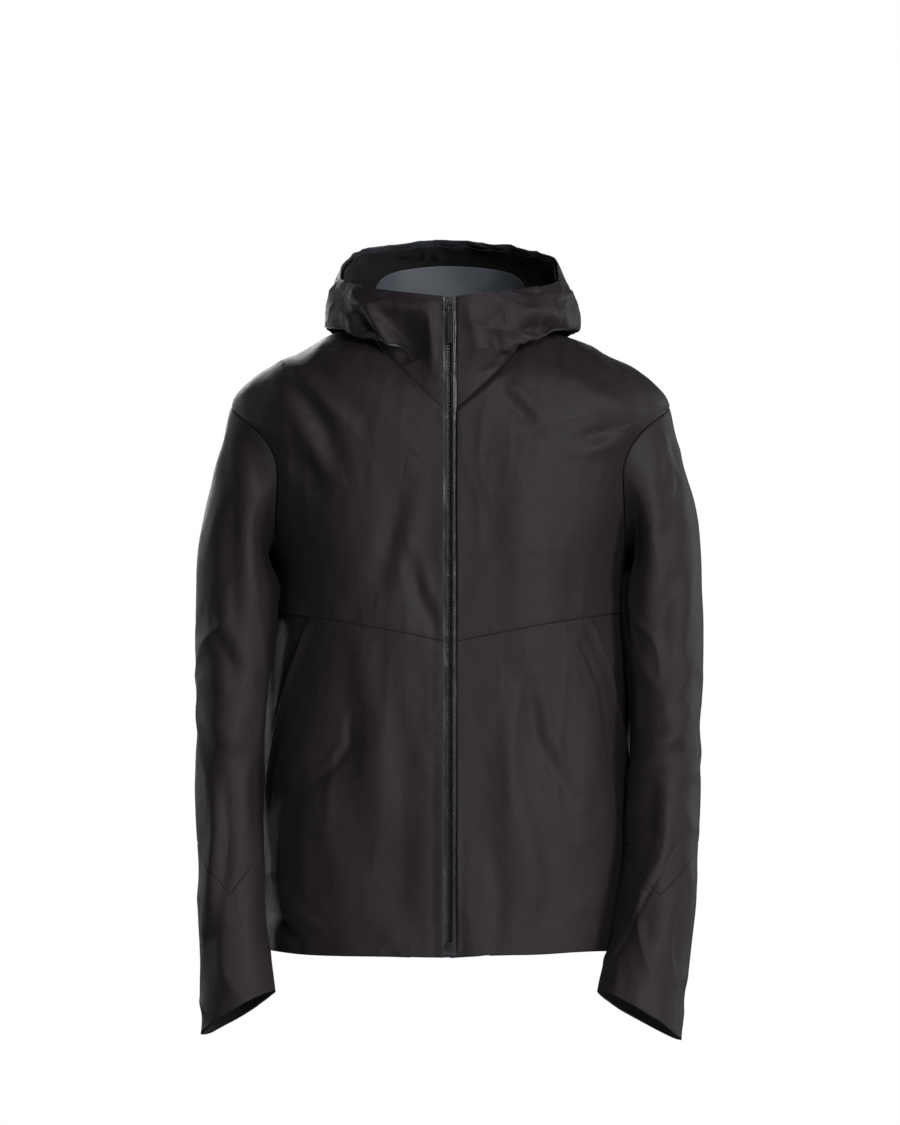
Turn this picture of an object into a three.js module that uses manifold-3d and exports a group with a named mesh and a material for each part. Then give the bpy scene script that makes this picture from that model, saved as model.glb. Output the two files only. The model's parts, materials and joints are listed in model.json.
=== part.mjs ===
// A hooded hardshell jacket on a standing body form, zipped to the chin with its hood down.
// Units are millimetres and +Z is up. The origin is where the wearer's shoulders carry it:
// the middle of the neck, level with the neck end of the shoulder line. -Y is the front.
import * as THREE from "three";
import { mergeVertices } from "three/addons/utils/BufferGeometryUtils.js";
import Module from "manifold-3d";

const wasm = await Module();
wasm.setup();

// ---------------------------------------------------------------- driving dimensions

const cloth = 2; // thickness of every shell panel
const seamGap = 1.1; // between two panels that are sewn edge to edge
const armholeGap = 3.8; // where the curved sleeve head meets the armhole
const seat = 0.3; // between a hard piece and what it lies on
const elbowGap = 1.5; // across the slanting elbow seam
const layer = 1.1; // between two layers of cloth

const bodyLength = 686; // shoulder line to the front hem
const tailDrop = 16; // the back hem hangs this much lower
const lowSkirtDrop = 560;
const waistDrop = 445;
const chestSeamDrop = 351; // at the zip
const chestSeamRise = 31; // the seam is higher at the side by this
const armpitDrop = 262;
const shoulderTipDrop = 100; // top of the dropped armhole
const neckFrontDrop = 100; // hood seam at the zip

const hemHalf = 200;
const waistHalf = 195;
const chestHalf = 185;
const shoulderHalf = 231;
const neckHalf = 92;
const hemBehind = 128;
const chestBehind = 126;
const neckBehind = 82;

const zipFootAhead = 150; // the zip leans back from here at the hem
const zipHeadAhead = 112; // to here under the chin
const zipHeadRise = 19; // its top end above the shoulder line
const zipFootRise = 4; // its bottom end above the hem

const sleeveDrop = 751; // shoulder line to the middle of the cuff
const cuffHalf = 39;
const cuffDeep = 50;
const cuffSlantOut = 0.58; // the cuff's edge falls this much for each millimetre outwards
const cuffSlantBack = 0.17;
const arms = {
  left: { in: 26, ahead: 40, fuller: 6 }, // this cuff hangs in front of the body
  right: { in: 0, ahead: 0, fuller: 0 },
};

const zip = {
  halfOpening: 7.5, // front panel edge to the zip's middle
  slot: 1, // between the two rows of teeth
  toothWide: 2.3,
  toothHigh: 2.3,
  toothProud: 0.3,
  tapeWide: 12.5,
  tapeThick: 0.8,
};
const slider = { long: 11, half: 5, plate: 1.8, clear: 0.7, neck: 0.4, flange: 1 };
const pull = { axle: 0.7, bore: 1, linkHalf: 2.6, linkLong: 9, wire: 0.9, tabLong: 34, tabWide: 5, tabThick: 1.4 };

const pocket = {
  topDrop: 372,
  bottomDrop: 512,
  topAngle: 63,
  bottomAngle: 82,
  hemAngle: 90,
  recess: 15, // the zip's bed lies this far under the flap
  underlap: 7, // degrees that the bed runs on under the flap
  clear: 0.9, // degrees left open beside the flap above and below the pocket
};

const hem = { deep: 24, hollow: 6, cord: 3 };
const lock = { radius: 5.5, long: 18, wall: 1.2, bore: 5, travel: 2.5 };

// ---------------------------------------------------------------- curves and sheets

const degree = Math.PI / 180;
const lerp = THREE.MathUtils.lerp;
const smooth = THREE.MathUtils.smoothstep;

// A cubic through evenly numbered stations: value at station number t, for numbers held by key.
function between(stations, t) {
  const last = stations.length - 1;
  const i = Math.min(Math.max(Math.floor(t), 0), last - 1);
  const f = t - i;
  const [a, b, c, d] = [i - 1, i, i + 1, i + 2].map((k) => stations[Math.min(Math.max(k, 0), last)]);
  const mixed = {};
  for (const key of Object.keys(b)) {
    const out = (c[key] - a[key]) / 2;
    const into = (d[key] - b[key]) / 2;
    const rise = c[key] - b[key];
    mixed[key] = b[key] + f * (out + f * (3 * rise - 2 * out - into + f * (out + into - 2 * rise)));
  }
  return mixed;
}

// Distance from the middle line forward to the zip, at a height.
const zipFoot = new THREE.Vector3(0, -zipFootAhead, -bodyLength + zipFootRise);
const zipHead = new THREE.Vector3(0, -zipHeadAhead, zipHeadRise);
function zipAhead(height) {
  return lerp(zipFootAhead, zipHeadAhead, (height - zipFoot.z) / (zipHead.z - zipFoot.z));
}

// A point on a ring of the form. angle runs from the zip (0) by the wearer's left side (90),
// the middle of the back (180) and the right side (270) round to the zip.
function ringPoint(ring, angle) {
  const side = angle > 180 ? -1 : 1;
  const turn = Math.min(angle, 360 - angle) * degree;
  const across = Math.sin(turn);
  const along = Math.abs(Math.cos(turn));
  const atFront = turn <= Math.PI / 2;
  const depth = atFront ? zipAhead(ring.front) + ring.shift : ring.behind - ring.shift;
  const power = ring.square;
  const reach = (Math.abs(across / ring.half) ** power + (along / depth) ** power) ** (-1 / power);
  const opening = atFront ? zip.halfOpening * (1 - across) : 0;
  const fullness = atFront ? ring.full * Math.sin(2 * turn) ** 2 : 0;
  const height = atFront
    ? lerp(ring.side, ring.front, 1 - across)
    : lerp(ring.side, ring.back, along ** ring.sag);
  return new THREE.Vector3(
    side * (opening + reach * across),
    ring.shift + (atFront ? -1 : 1) * (reach * along + fullness),
    height,
  );
}

// Rings of the body from the hem (0) by the chest seam (3), the armpit (4) and the
// shoulder tip (6) to the hood seam (9). front, side and back are heights.
const bodyRings = [
  { front: -bodyLength, side: -bodyLength, back: -bodyLength - tailDrop, half: hemHalf, behind: hemBehind, square: 2.3 },
  { front: -lowSkirtDrop, side: -lowSkirtDrop, back: -lowSkirtDrop, half: 199, behind: 124, square: 2.35 },
  { front: -waistDrop, side: -waistDrop, back: -waistDrop + 8, half: waistHalf, behind: 118, square: 2.4 },
  { front: -chestSeamDrop, side: -chestSeamDrop + chestSeamRise, back: -chestSeamDrop + 40, half: 187, behind: 123, square: 2.4 },
  { front: -armpitDrop - 14, side: -armpitDrop, back: -armpitDrop + 12, half: chestHalf, behind: chestBehind, square: 2.5 },
  { front: -210, side: -168, back: -195, half: 211, behind: 126, square: 2.2 },
  { front: -168, side: -shoulderTipDrop, back: -138, half: shoulderHalf, behind: 121, square: 2.1 },
  { front: -138, side: -61, back: -72, half: 197, behind: 113, square: 2.1 },
  { front: -116, side: -28, back: -25, half: 139, behind: 100, square: 2.05 },
  { front: -neckFrontDrop, side: -7, back: 3, half: neckHalf, behind: neckBehind, square: 2 },
].map((ring, i) => ({
  ...ring,
  sag: 2,
  full: [4, 5, 6, 8, 9, 7, 3, 0, 0, 0][i], // how far the chest and skirt stand out beside the zip
  shift: [24, 23, 22, 22, 24, 4, 0, 0, 0, 0][i], // how far behind the middle the widest line lies
}));
const ringOf = { hem: 0, chestSeam: 3, neck: bodyRings.length - 1 };

function bodyPoint(angle, level) {
  return ringPoint(between(bodyRings, level), angle);
}

// Rings of the hood as it lies when down, from its seam (0) over the pouch behind the
// neck (3 is its lowest) to the rim (7).
const hoodRings = [
  { ...bodyRings[ringOf.neck] },
  { front: -82, side: -1, back: -26, half: 108, behind: 113, square: 2, full: 0, sag: 2.6 },
  { front: -64, side: -9, back: -92, half: 127, behind: 142, square: 2.05, full: 1, sag: 3 },
  { front: -46, side: -13, back: -124, half: 138, behind: 172, square: 2.1, full: 2, sag: 3 },
  { front: -27, side: 3, back: -72, half: 139, behind: 200, square: 2.15, full: 3, sag: 2.6 },
  { front: -9, side: 21, back: 4, half: 134, behind: 194, square: 2.15, full: 3, sag: 2 },
  { front: 6, side: 34, back: 56, half: 128, behind: 164, square: 2.1, full: 2, sag: 2 },
  { front: zipHeadRise, side: 43, back: 84, half: 121, behind: 118, square: 2, full: 0, sag: 2 },
].map((ring) => ({ ...ring, shift: 0 }));
const hoodOf = { seam: 0, brim: 6.1, rim: hoodRings.length - 1 };

function hoodPoint(angle, level) {
  return ringPoint(between(hoodRings, level), angle);
}

// The standing collar inside the hood, from its seam (0) to its top edge (2).
const collarRings = [
  { front: -40, side: -4, back: 6, half: neckHalf - 7, behind: neckBehind - 7, square: 2, full: 0, sag: 2 },
  { front: -8, side: 24, back: 32, half: neckHalf - 9, behind: neckBehind - 11, square: 2, full: 0, sag: 2 },
  { front: 14, side: 50, back: 58, half: neckHalf - 12, behind: neckBehind - 14, square: 2, full: 0, sag: 2 },
].map((ring) => ({ ...ring, shift: 0 }));
const collarStart = 52; // degrees from the zip where the collar leaves the hood

function collarPoint(angle, level) {
  const ring = between(collarRings, level);
  const point = ringPoint(ring, angle);
  point.y *= point.y < 0 ? (ring.half - 8) / zipAhead(ring.front) : 1;
  return point;
}

// The direction out of a surface, from its own slopes.
function outOf(point, u, v) {
  const step = 0.01;
  const alongU = point(u + step, v).sub(point(u - step, v));
  const alongV = point(u, v + step).sub(point(u, v - step));
  return alongU.cross(alongV).normalize();
}

// The closed solid of a sheet of cloth. point(u, v) gives its outer face before it is set in by
// inset, from and to are its edges in u at each v, and start and end its edges in v.
// A sheet that wraps joins on to itself round u. levels, where given, are its rows. slant(u, share)
// moves a place up or down in v, and share runs from 0 at the start to 1 at the end.
function sheet({
  point, from, to, levels, start = levels[0], end = levels.at(-1), columns, rows = levels.length - 1,
  thick = cloth, inset = 0, gap = seamGap, endGap = gap, wraps = false, slant = () => 0,
}) {
  const depthAt = typeof inset === "function" ? inset : () => inset;
  const across = wraps ? columns : columns + 1;
  const positions = [];
  const put = (p) => positions.push(p.x, p.y, p.z);
  const faces = [[], []];
  for (let j = 0; j <= rows; j++) {
    const rough = levels ? levels[j] : lerp(start, end, j / rows);
    const middle = (from(rough) + to(rough)) / 2;
    const perStep = point(middle, rough).distanceTo(point(middle, rough + 0.01)) / 0.01;
    const v = j === 0 ? start + gap / 2 / perStep : j === rows ? end - endGap / 2 / perStep : rough;
    for (let i = 0; i < across; i++) {
      const share = i / columns;
      const bare = lerp(from(v), to(v), share);
      const stepU = (gap / 2 / point(bare, v).distanceTo(point(bare + 0.1, v))) * 0.1;
      const u = wraps ? bare : i === 0 ? bare + stepU : i === columns ? bare - stepU : bare;
      const row = v + slant(u, j / rows);
      const outward = outOf(point, u, row);
      const depth = depthAt(u, row);
      faces[0].push(point(u, row).addScaledVector(outward, -depth));
      faces[1].push(point(u, row).addScaledVector(outward, -depth - thick));
    }
  }
  faces.flat().forEach(put);
  const count = faces[0].length;
  const at = (layer, i, j) => layer * count + j * across + (i % across);
  const index = [];
  const quad = (a, b, c, d) => index.push(a, b, c, a, c, d);
  for (let j = 0; j < rows; j++)
    for (let i = 0; i < columns; i++) {
      quad(at(0, i, j), at(0, i + 1, j), at(0, i + 1, j + 1), at(0, i, j + 1));
      quad(at(1, i, j + 1), at(1, i + 1, j + 1), at(1, i + 1, j), at(1, i, j));
    }
  for (let i = 0; i < columns; i++) {
    quad(at(1, i, 0), at(1, i + 1, 0), at(0, i + 1, 0), at(0, i, 0));
    quad(at(0, i, rows), at(0, i + 1, rows), at(1, i + 1, rows), at(1, i, rows));
  }
  if (!wraps)
    for (let j = 0; j < rows; j++) {
      quad(at(1, 0, j + 1), at(1, 0, j), at(0, 0, j), at(0, 0, j + 1));
      quad(at(1, columns, j), at(1, columns, j + 1), at(0, columns, j + 1), at(0, columns, j));
    }
  return new THREE.BufferGeometry()
    .setAttribute("position", new THREE.Float32BufferAttribute(positions, 3))
    .setIndex(index);
}

// ---------------------------------------------------------------- solids for the hard parts

function solid(geometry) {
  const bare = geometry.clone();
  bare.deleteAttribute("normal");
  bare.deleteAttribute("uv");
  const merged = mergeVertices(bare, 1e-4);
  return new wasm.Manifold(
    new wasm.Mesh({
      numProp: 3,
      vertProperties: merged.attributes.position.array,
      triVerts: new Uint32Array(merged.index.array),
    }),
  );
}

function shapeOf(manifold) {
  const mesh = manifold.getMesh();
  return new THREE.BufferGeometry()
    .setAttribute("position", new THREE.Float32BufferAttribute(mesh.vertProperties, 3))
    .setIndex(new THREE.Uint32BufferAttribute(mesh.triVerts, 1));
}

// A box between two corners, and a round bar along x, y or z between two places on that axis.
function block(low, high) {
  const size = high.map((value, i) => value - low[i]);
  return new THREE.BoxGeometry(...size).translate(...low.map((value, i) => value + size[i] / 2));
}

function bar(axis, radius, from, to, centre = [0, 0, 0], sides = 16) {
  const rod = new THREE.CylinderGeometry(radius, radius, to - from, sides);
  if (axis === "x") rod.rotateZ(-Math.PI / 2);
  if (axis === "z") rod.rotateX(Math.PI / 2);
  const place = { x: [1, 0, 0], y: [0, 1, 0], z: [0, 0, 1] }[axis].map((k) => (k * (from + to)) / 2);
  return rod.translate(...place.map((value, i) => value + centre[i]));
}

function joined(...shapes) {
  return shapes.map(solid).reduce((all, one) => all.add(one));
}

function cut(base, ...tools) {
  return shapeOf(tools.map(solid).reduce((left, tool) => left.subtract(tool), base));
}

// ---------------------------------------------------------------- materials

const paint = (color, roughness, metalness = 0) =>
  new THREE.MeshStandardMaterial({ color, roughness, metalness });
const materials = {
  shell: paint(0x2c2a2c, 0.72),
  lining: paint(0x0d0d0f, 0.85),
  backer: paint(0x767b83, 0.55),
  tape: paint(0x1a1a1c, 0.22),
  teeth: paint(0x1d1c1b, 0.4),
  metal: paint(0x1b1b1d, 0.35, 0.8),
  rubber: paint(0x1c1c1c, 0.6),
  spring: paint(0x8d8f92, 0.35, 0.9),
};

const jacket = new THREE.Group();
function add(parent, name, geometry, material) {
  const mesh = new THREE.Mesh(geometry, materials[material]);
  mesh.name = name;
  parent.add(mesh);
  return mesh;
}

// Angles of the same span on the wearer's left side or, mirrored, on the right.
const sides = ["right", "left"];
function spanOn(side, from, to) {
  return side === "left"
    ? { from, to }
    : { from: (v) => 360 - to(v), to: (v) => 360 - from(v) };
}
const fixed = (value) => () => value;

// ---------------------------------------------------------------- body panels

const sideSeam = 95; // degrees: shoulder seam, and side seam above the chest seam
const lowSideSeam = 108; // side seam below the chest seam
const armhole = { angle: 95, level: 5.07, ahead: 25, behind: 26, tall: 0.97 };

// How far round the armhole's edge is from its middle at a level, in degrees.
function armholeReach(level, widest) {
  const away = Math.min(1, Math.abs(level - armhole.level) / armhole.tall);
  return widest * Math.sqrt(1 - away * away);
}
const upperLevels = [ringOf.chestSeam, 3.5]
  .concat([-1, -0.92, -0.7, -0.36, 0, 0.36, 0.7, 0.92, 1].map((share) => armhole.level + share * armhole.tall))
  .concat([6.4, 6.9, 7.5, 8.2, ringOf.neck]);
const frontEdge = (level) => sideSeam - armholeReach(level, armhole.ahead);
const backEdge = (level) => sideSeam + armholeReach(level, armhole.behind);

// Where the flap of the hand pocket ends, in degrees, with the pocket's line straight on.
function heightAt(level) {
  return bodyPoint(pocket.topAngle, level).z;
}
function pocketEdge(level) {
  const drop = -heightAt(level);
  const down = (drop - pocket.topDrop) / (pocket.bottomDrop - pocket.topDrop);
  const below = (drop - pocket.bottomDrop) / (bodyLength - pocket.bottomDrop);
  return down < 1
    ? lerp(pocket.topAngle, pocket.bottomAngle, down)
    : lerp(pocket.bottomAngle, pocket.hemAngle, Math.min(below, 1));
}
// 1 along the pocket and 0 well above and below it.
function alongPocket(level) {
  const drop = -heightAt(level);
  return smooth(drop, pocket.topDrop - 22, pocket.topDrop) * (1 - smooth(drop, pocket.bottomDrop, pocket.bottomDrop + 45));
}
const bedStart = (level) => {
  const along = alongPocket(level);
  return pocketEdge(level) + pocket.clear - (pocket.underlap + pocket.clear) * smooth(along, 0.55, 1);
};
const bedDepth = (side) => (angle, level) => {
  const turned = side === "left" ? angle : 360 - angle;
  const behindEdge = smooth(turned, pocketEdge(level) + 1, pocketEdge(level) + 17);
  return pocket.recess * alongPocket(level) * (1 - behindEdge);
};

for (const side of sides) {
  add(jacket, `front_upper_${side}`, sheet({
    point: bodyPoint,
    ...spanOn(side, fixed(0), frontEdge),
    levels: upperLevels, columns: 9,
  }), "shell");
  add(jacket, `front_lower_${side}`, sheet({
    point: bodyPoint,
    ...spanOn(side, fixed(0), pocketEdge),
    start: ringOf.hem, end: ringOf.chestSeam, columns: 8, rows: 14,
  }), "shell");
  add(jacket, `side_panel_${side}`, sheet({
    point: bodyPoint,
    ...spanOn(side, bedStart, fixed(lowSideSeam)),
    start: ringOf.hem, end: ringOf.chestSeam, columns: 6, rows: 14,
    inset: bedDepth(side),
  }), "shell");
}
add(jacket, "back_upper", sheet({
  point: bodyPoint,
  from: backEdge, to: (level) => 360 - backEdge(level),
  levels: upperLevels, columns: 16,
}), "shell");
add(jacket, "back_lower", sheet({
  point: bodyPoint,
  from: fixed(lowSideSeam), to: fixed(360 - lowSideSeam),
  start: ringOf.hem, end: ringOf.chestSeam, columns: 14, rows: 6,
}), "shell");

// ---------------------------------------------------------------- sleeves

// Rings down the arm from the cuff (0) to the upper arm (5): height, distance out from the
// middle, distance ahead, and half sizes.
const sleeveRings = [
  { drop: sleeveDrop, out: 229, ahead: 86, half: cuffHalf, deep: cuffDeep },
  { drop: 690, out: 233, ahead: 73, half: 38, deep: 52 },
  { drop: 620, out: 237, ahead: 59, half: 37, deep: 55 },
  { drop: 524, out: 238, ahead: 41, half: 37, deep: 58 },
  { drop: 416, out: 236.5, ahead: 26, half: 38, deep: 62 },
  { drop: 300, out: 228, ahead: 10, half: 42, deep: 66 },
];
const sleeveOf = { cuff: 0, elbow: 2.4, upperArm: sleeveRings.length - 1, armhole: sleeveRings.length };
const slantFrom = 2; // the ring where the cuff's slant begins

// A point of one station of the left sleeve. turn runs from the front (0) outwards (90) to the
// back (180) and inwards (270).
function sleeveStation(side, turn, number) {
  const across = Math.sin(turn * degree);
  const along = Math.cos(turn * degree);
  if (number === sleeveOf.armhole) {
    const widest = along > 0 ? armhole.ahead : armhole.behind;
    return bodyPoint(armhole.angle - widest * along, armhole.level + armhole.tall * across);
  }
  const ring = sleeveRings[number];
  const hang = (1 - number / sleeveOf.upperArm) ** 1.3;
  const arm = arms[side];
  const slant = Math.max(0, 1 - number / slantFrom);
  const out = (ring.half + arm.fuller * hang) * across;
  const back = -ring.deep * along;
  return new THREE.Vector3(
    ring.out - arm.in * hang + out,
    -ring.ahead - arm.ahead * hang + back,
    -ring.drop - slant * (cuffSlantOut * out + cuffSlantBack * back),
  );
}

// The sleeve leaves the body along the shoulder at the top and sideways under the arm.
const shoulderRun = new THREE.Vector3(0.45, 0, -0.9);
const underarmRun = new THREE.Vector3(0.95, 0, -0.3);

function sleevePoint(side) {
  return (angle, level) => {
    const turn = side === "left" ? angle : 360 - angle;
    const last = sleeveOf.armhole;
    const i = Math.min(Math.max(Math.floor(level), 0), last - 1);
    const at = (k) => sleeveStation(side, turn, Math.min(Math.max(k, 0), last));
    const slopeAt = (k) => {
      if (k === last) {
        const run = underarmRun.clone().lerp(shoulderRun, (1 + Math.sin(turn * degree)) / 2).normalize();
        return run.multiplyScalar(-at(last).distanceTo(at(last - 1)));
      }
      const slope = at(k + 1).sub(at(k - 1)).multiplyScalar(0.5);
      const most = 1.4 * at(k).distanceTo(at(k + 1));
      return slope.clampLength(0, most);
    };
    const [a, b, m, n] = [at(i), at(i + 1), slopeAt(i), slopeAt(i + 1)];
    const f = level - i;
    const g = f * f;
    const h = g * f;
    const point = a.multiplyScalar(2 * h - 3 * g + 1)
      .addScaledVector(m, h - 2 * g + f)
      .addScaledVector(b, 3 * g - 2 * h)
      .addScaledVector(n, h - g);
    if (side === "right") point.x *= -1;
    return point;
  };
}

// The elbow seam dips to a point at the front of the arm, which bends the sleeve forward.
const elbowDart = { rise: 0.15, dip: 0.58, half: 72 }; // in ring numbers, and degrees round the arm
const dartAt = (angle) =>
  elbowDart.rise - elbowDart.dip * Math.max(0, 1 - Math.min(angle, 360 - angle) / elbowDart.half);

for (const side of sides) {
  const round = { point: sleevePoint(side), from: fixed(0), to: fixed(360), wraps: true };
  add(jacket, `sleeve_upper_${side}`, sheet({
    ...round, start: sleeveOf.elbow, end: sleeveOf.armhole, columns: 20, rows: 10, endGap: armholeGap,
    gap: elbowGap, slant: (angle, share) => dartAt(angle) * (1 - share),
  }), "shell");
  add(jacket, `sleeve_forearm_${side}`, sheet({
    ...round, start: sleeveOf.cuff, end: sleeveOf.elbow, columns: 20, rows: 5,
    gap: elbowGap, slant: (angle, share) => dartAt(angle) * share,
  }), "shell");
  add(jacket, `cuff_facing_${side}`, sheet({
    ...round, start: sleeveOf.cuff, end: sleeveOf.cuff + 0.45, columns: 20, rows: 1,
    inset: cloth + 0.85 * layer, thick: 1,
  }), "lining");
}

// ---------------------------------------------------------------- hood and collar

const hoodSeam = 142; // degrees: between each side and the middle panel
for (const side of sides)
  add(jacket, `hood_side_${side}`, sheet({
    point: hoodPoint,
    ...spanOn(side, fixed(0), fixed(hoodSeam)),
    start: hoodOf.seam, end: hoodOf.rim, columns: 12, rows: 9,
  }), "shell");
add(jacket, "hood_middle", sheet({
  point: hoodPoint, from: fixed(hoodSeam), to: fixed(360 - hoodSeam),
  start: hoodOf.seam + 0.04, end: hoodOf.brim, columns: 7, rows: 8,
}), "shell");
add(jacket, "hood_brim", sheet({
  point: hoodPoint, from: fixed(hoodSeam), to: fixed(360 - hoodSeam),
  start: hoodOf.brim, end: hoodOf.rim, columns: 7, rows: 2,
}), "shell");
add(jacket, "hood_facing", sheet({
  point: hoodPoint, from: fixed(12), to: fixed(348),
  start: 4.9, end: 6.8, columns: 26, rows: 4, inset: cloth + 3 * layer, thick: 1,
}), "backer");
add(jacket, "collar", sheet({
  point: collarPoint, from: fixed(collarStart), to: fixed(360 - collarStart),
  start: 0, end: 2, columns: 14, rows: 3, thick: 1.5,
}), "backer");

// ---------------------------------------------------------------- main zip

// Everything on the zip is laid out along its own straight line: z runs up it and -y out of it.
const zipLong = zipFoot.distanceTo(zipHead);
const zipLine = new THREE.Group();
zipLine.position.copy(zipFoot);
zipLine.rotation.x = -Math.atan2(zipHead.y - zipFoot.y, zipHead.z - zipFoot.z);
jacket.add(zipLine);

const tapeFace = cloth + 2 * seat;
const tapeBack = tapeFace + zip.tapeThick;
const toothIn = zip.slot / 2;
const toothOut = toothIn + zip.toothWide;
const toothBack = tapeFace - seat;
const toothFace = toothBack - zip.toothHigh;
const stopLong = 3;
const boxLong = 10;
const rowFoot = boxLong + seat;
const rowHead = zipLong - stopLong - seat;

const onSide = (side, low, high) =>
  side === "left"
    ? block(low, high)
    : block([-high[0], low[1], low[2]], [-low[0], high[1], high[2]]);

for (const side of sides) {
  add(zipLine, `zip_tape_${side}`, onSide(side, [toothIn, tapeFace, 0], [zip.tapeWide, tapeBack, zipLong]), "tape");
  add(zipLine, `zip_teeth_${side}`, onSide(side, [toothIn, toothFace, rowFoot], [toothOut, toothBack, rowHead]), "teeth");
  add(zipLine, `zip_top_stop_${side}`,
    onSide(side, [toothIn, toothFace - 0.4, rowHead + seat], [toothOut + 0.3, toothBack, zipLong]), "metal");
}
// The box is fixed to the right tape's foot, and the pin on the left tape stands beside it.
add(zipLine, "zip_box", block([-toothOut - 1.6, toothFace - 1, 0.3], [-toothIn + 0.2, toothBack, boxLong]), "rubber");
add(zipLine, "zip_pin", block([toothIn, toothFace - 0.6, 0.3], [toothOut - 0.4, toothBack, boxLong + 0]), "metal");

// The slider rests against the top stops. Its neck runs in the slot between the rows.
const sliderHead = rowHead - seat;
const sliderFoot = sliderHead - slider.long;
const plateBack = toothFace - slider.clear;
const plateFace = plateBack - slider.plate;
const underFace = tapeBack + 0.5;
const underBack = underFace + 1.2;
const axleOut = plateFace - 1.9;
const axleHeight = sliderHead - 4.5;
const lugHalf = 1.1;
add(zipLine, "zip_slider", cut(
  joined(
    block([-slider.half, plateFace, sliderFoot], [slider.half, plateBack, sliderHead]),
    block([-slider.half, plateFace, sliderFoot], [-slider.half + slider.flange, tapeFace - 0.6, sliderHead]),
    block([slider.half - slider.flange, plateFace, sliderFoot], [slider.half, tapeFace - 0.6, sliderHead]),
    block([-slider.neck / 2, plateFace, sliderHead - 4], [slider.neck / 2, underBack, sliderHead]),
    block([-slider.half, underFace, sliderFoot], [slider.half, underBack, sliderHead]),
    block([-lugHalf, axleOut, axleHeight - 2.4], [lugHalf, plateFace + 0.5, axleHeight + 2.4]),
    bar("x", 2.4, -lugHalf, lugHalf, [0, axleOut, axleHeight]),
  ),
  bar("x", pull.bore, -lugHalf - 1, lugHalf + 1, [0, axleOut, axleHeight]),
), "metal");

// A wire link turns in the slider's lug and carries the moulded tab.
const linkFoot = axleHeight - pull.linkLong;
const linkBar = (x) => bar("z", pull.wire, linkFoot, axleHeight, [x, axleOut, 0], 10);
const linkIn = pull.linkHalf - pull.wire;
add(zipLine, "zip_pull_link", shapeOf(joined(
  bar("x", pull.axle, -linkIn, linkIn, [0, axleOut, axleHeight], 12),
  linkBar(-pull.linkHalf + 0.4),
  linkBar(pull.linkHalf - 0.4),
  bar("x", pull.wire * 0.8, -linkIn, linkIn, [0, axleOut, linkFoot + 0.8], 12),
)), "metal");
const tabRound = 1.6;
const tabAxis = linkFoot + 0.8;
const tabNarrow = linkIn - 0.8;
add(zipLine, "zip_pull_tab", cut(
  joined(
    bar("x", tabRound, -tabNarrow, tabNarrow, [0, axleOut, tabAxis], 20),
    block([-tabNarrow, axleOut - tabRound, linkFoot - 2.4], [tabNarrow, axleOut + tabRound, tabAxis]),
    block([-pull.tabWide / 2, axleOut - pull.tabThick / 2, linkFoot - pull.tabLong],
      [pull.tabWide / 2, axleOut + pull.tabThick / 2, linkFoot - 1.6]),
  ),
  bar("x", pull.wire * 0.8 + seat, -3, 3, [0, axleOut, tabAxis]),
), "rubber");

// Behind the zip: the storm flap, sewn to the right tape, and the soft guard at the chin.
const flapFace = underBack + 0.8;
const flapBack = flapFace + 1;
const flapHalf = zip.tapeWide + 3;
add(zipLine, "storm_flap", shapeOf(joined(
  block([-flapHalf, flapFace, 2], [zip.tapeWide - 1, flapBack, zipLong - 1]),
  block([-zip.tapeWide, tapeBack + seat, 2], [-zip.tapeWide + 5, flapFace + 0.5, zipLong - 1]),
)), "backer");
add(zipLine, "chin_guard", block([-24, flapBack + seat, zipLong - 70], [24, flapBack + seat + 1.2, zipLong - 1]), "lining");

// ---------------------------------------------------------------- hand pockets

function pocketLevel(drop) {
  let low = 0;
  let high = ringOf.chestSeam;
  for (let k = 0; k < 40; k++) {
    const middle = (low + high) / 2;
    if (-heightAt(middle) > drop) low = middle;
    else high = middle;
  }
  return (low + high) / 2;
}
const pocketTop = pocketLevel(pocket.topDrop + 4);
const pocketFoot = pocketLevel(pocket.bottomDrop - 4);
const pocketZip = { sag: 5.2, tapeHalf: 6, tape: 0.6, tooth: 1.2, toothHalf: 1.6, sliderHalf: 3, sliderLong: 8 };

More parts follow.
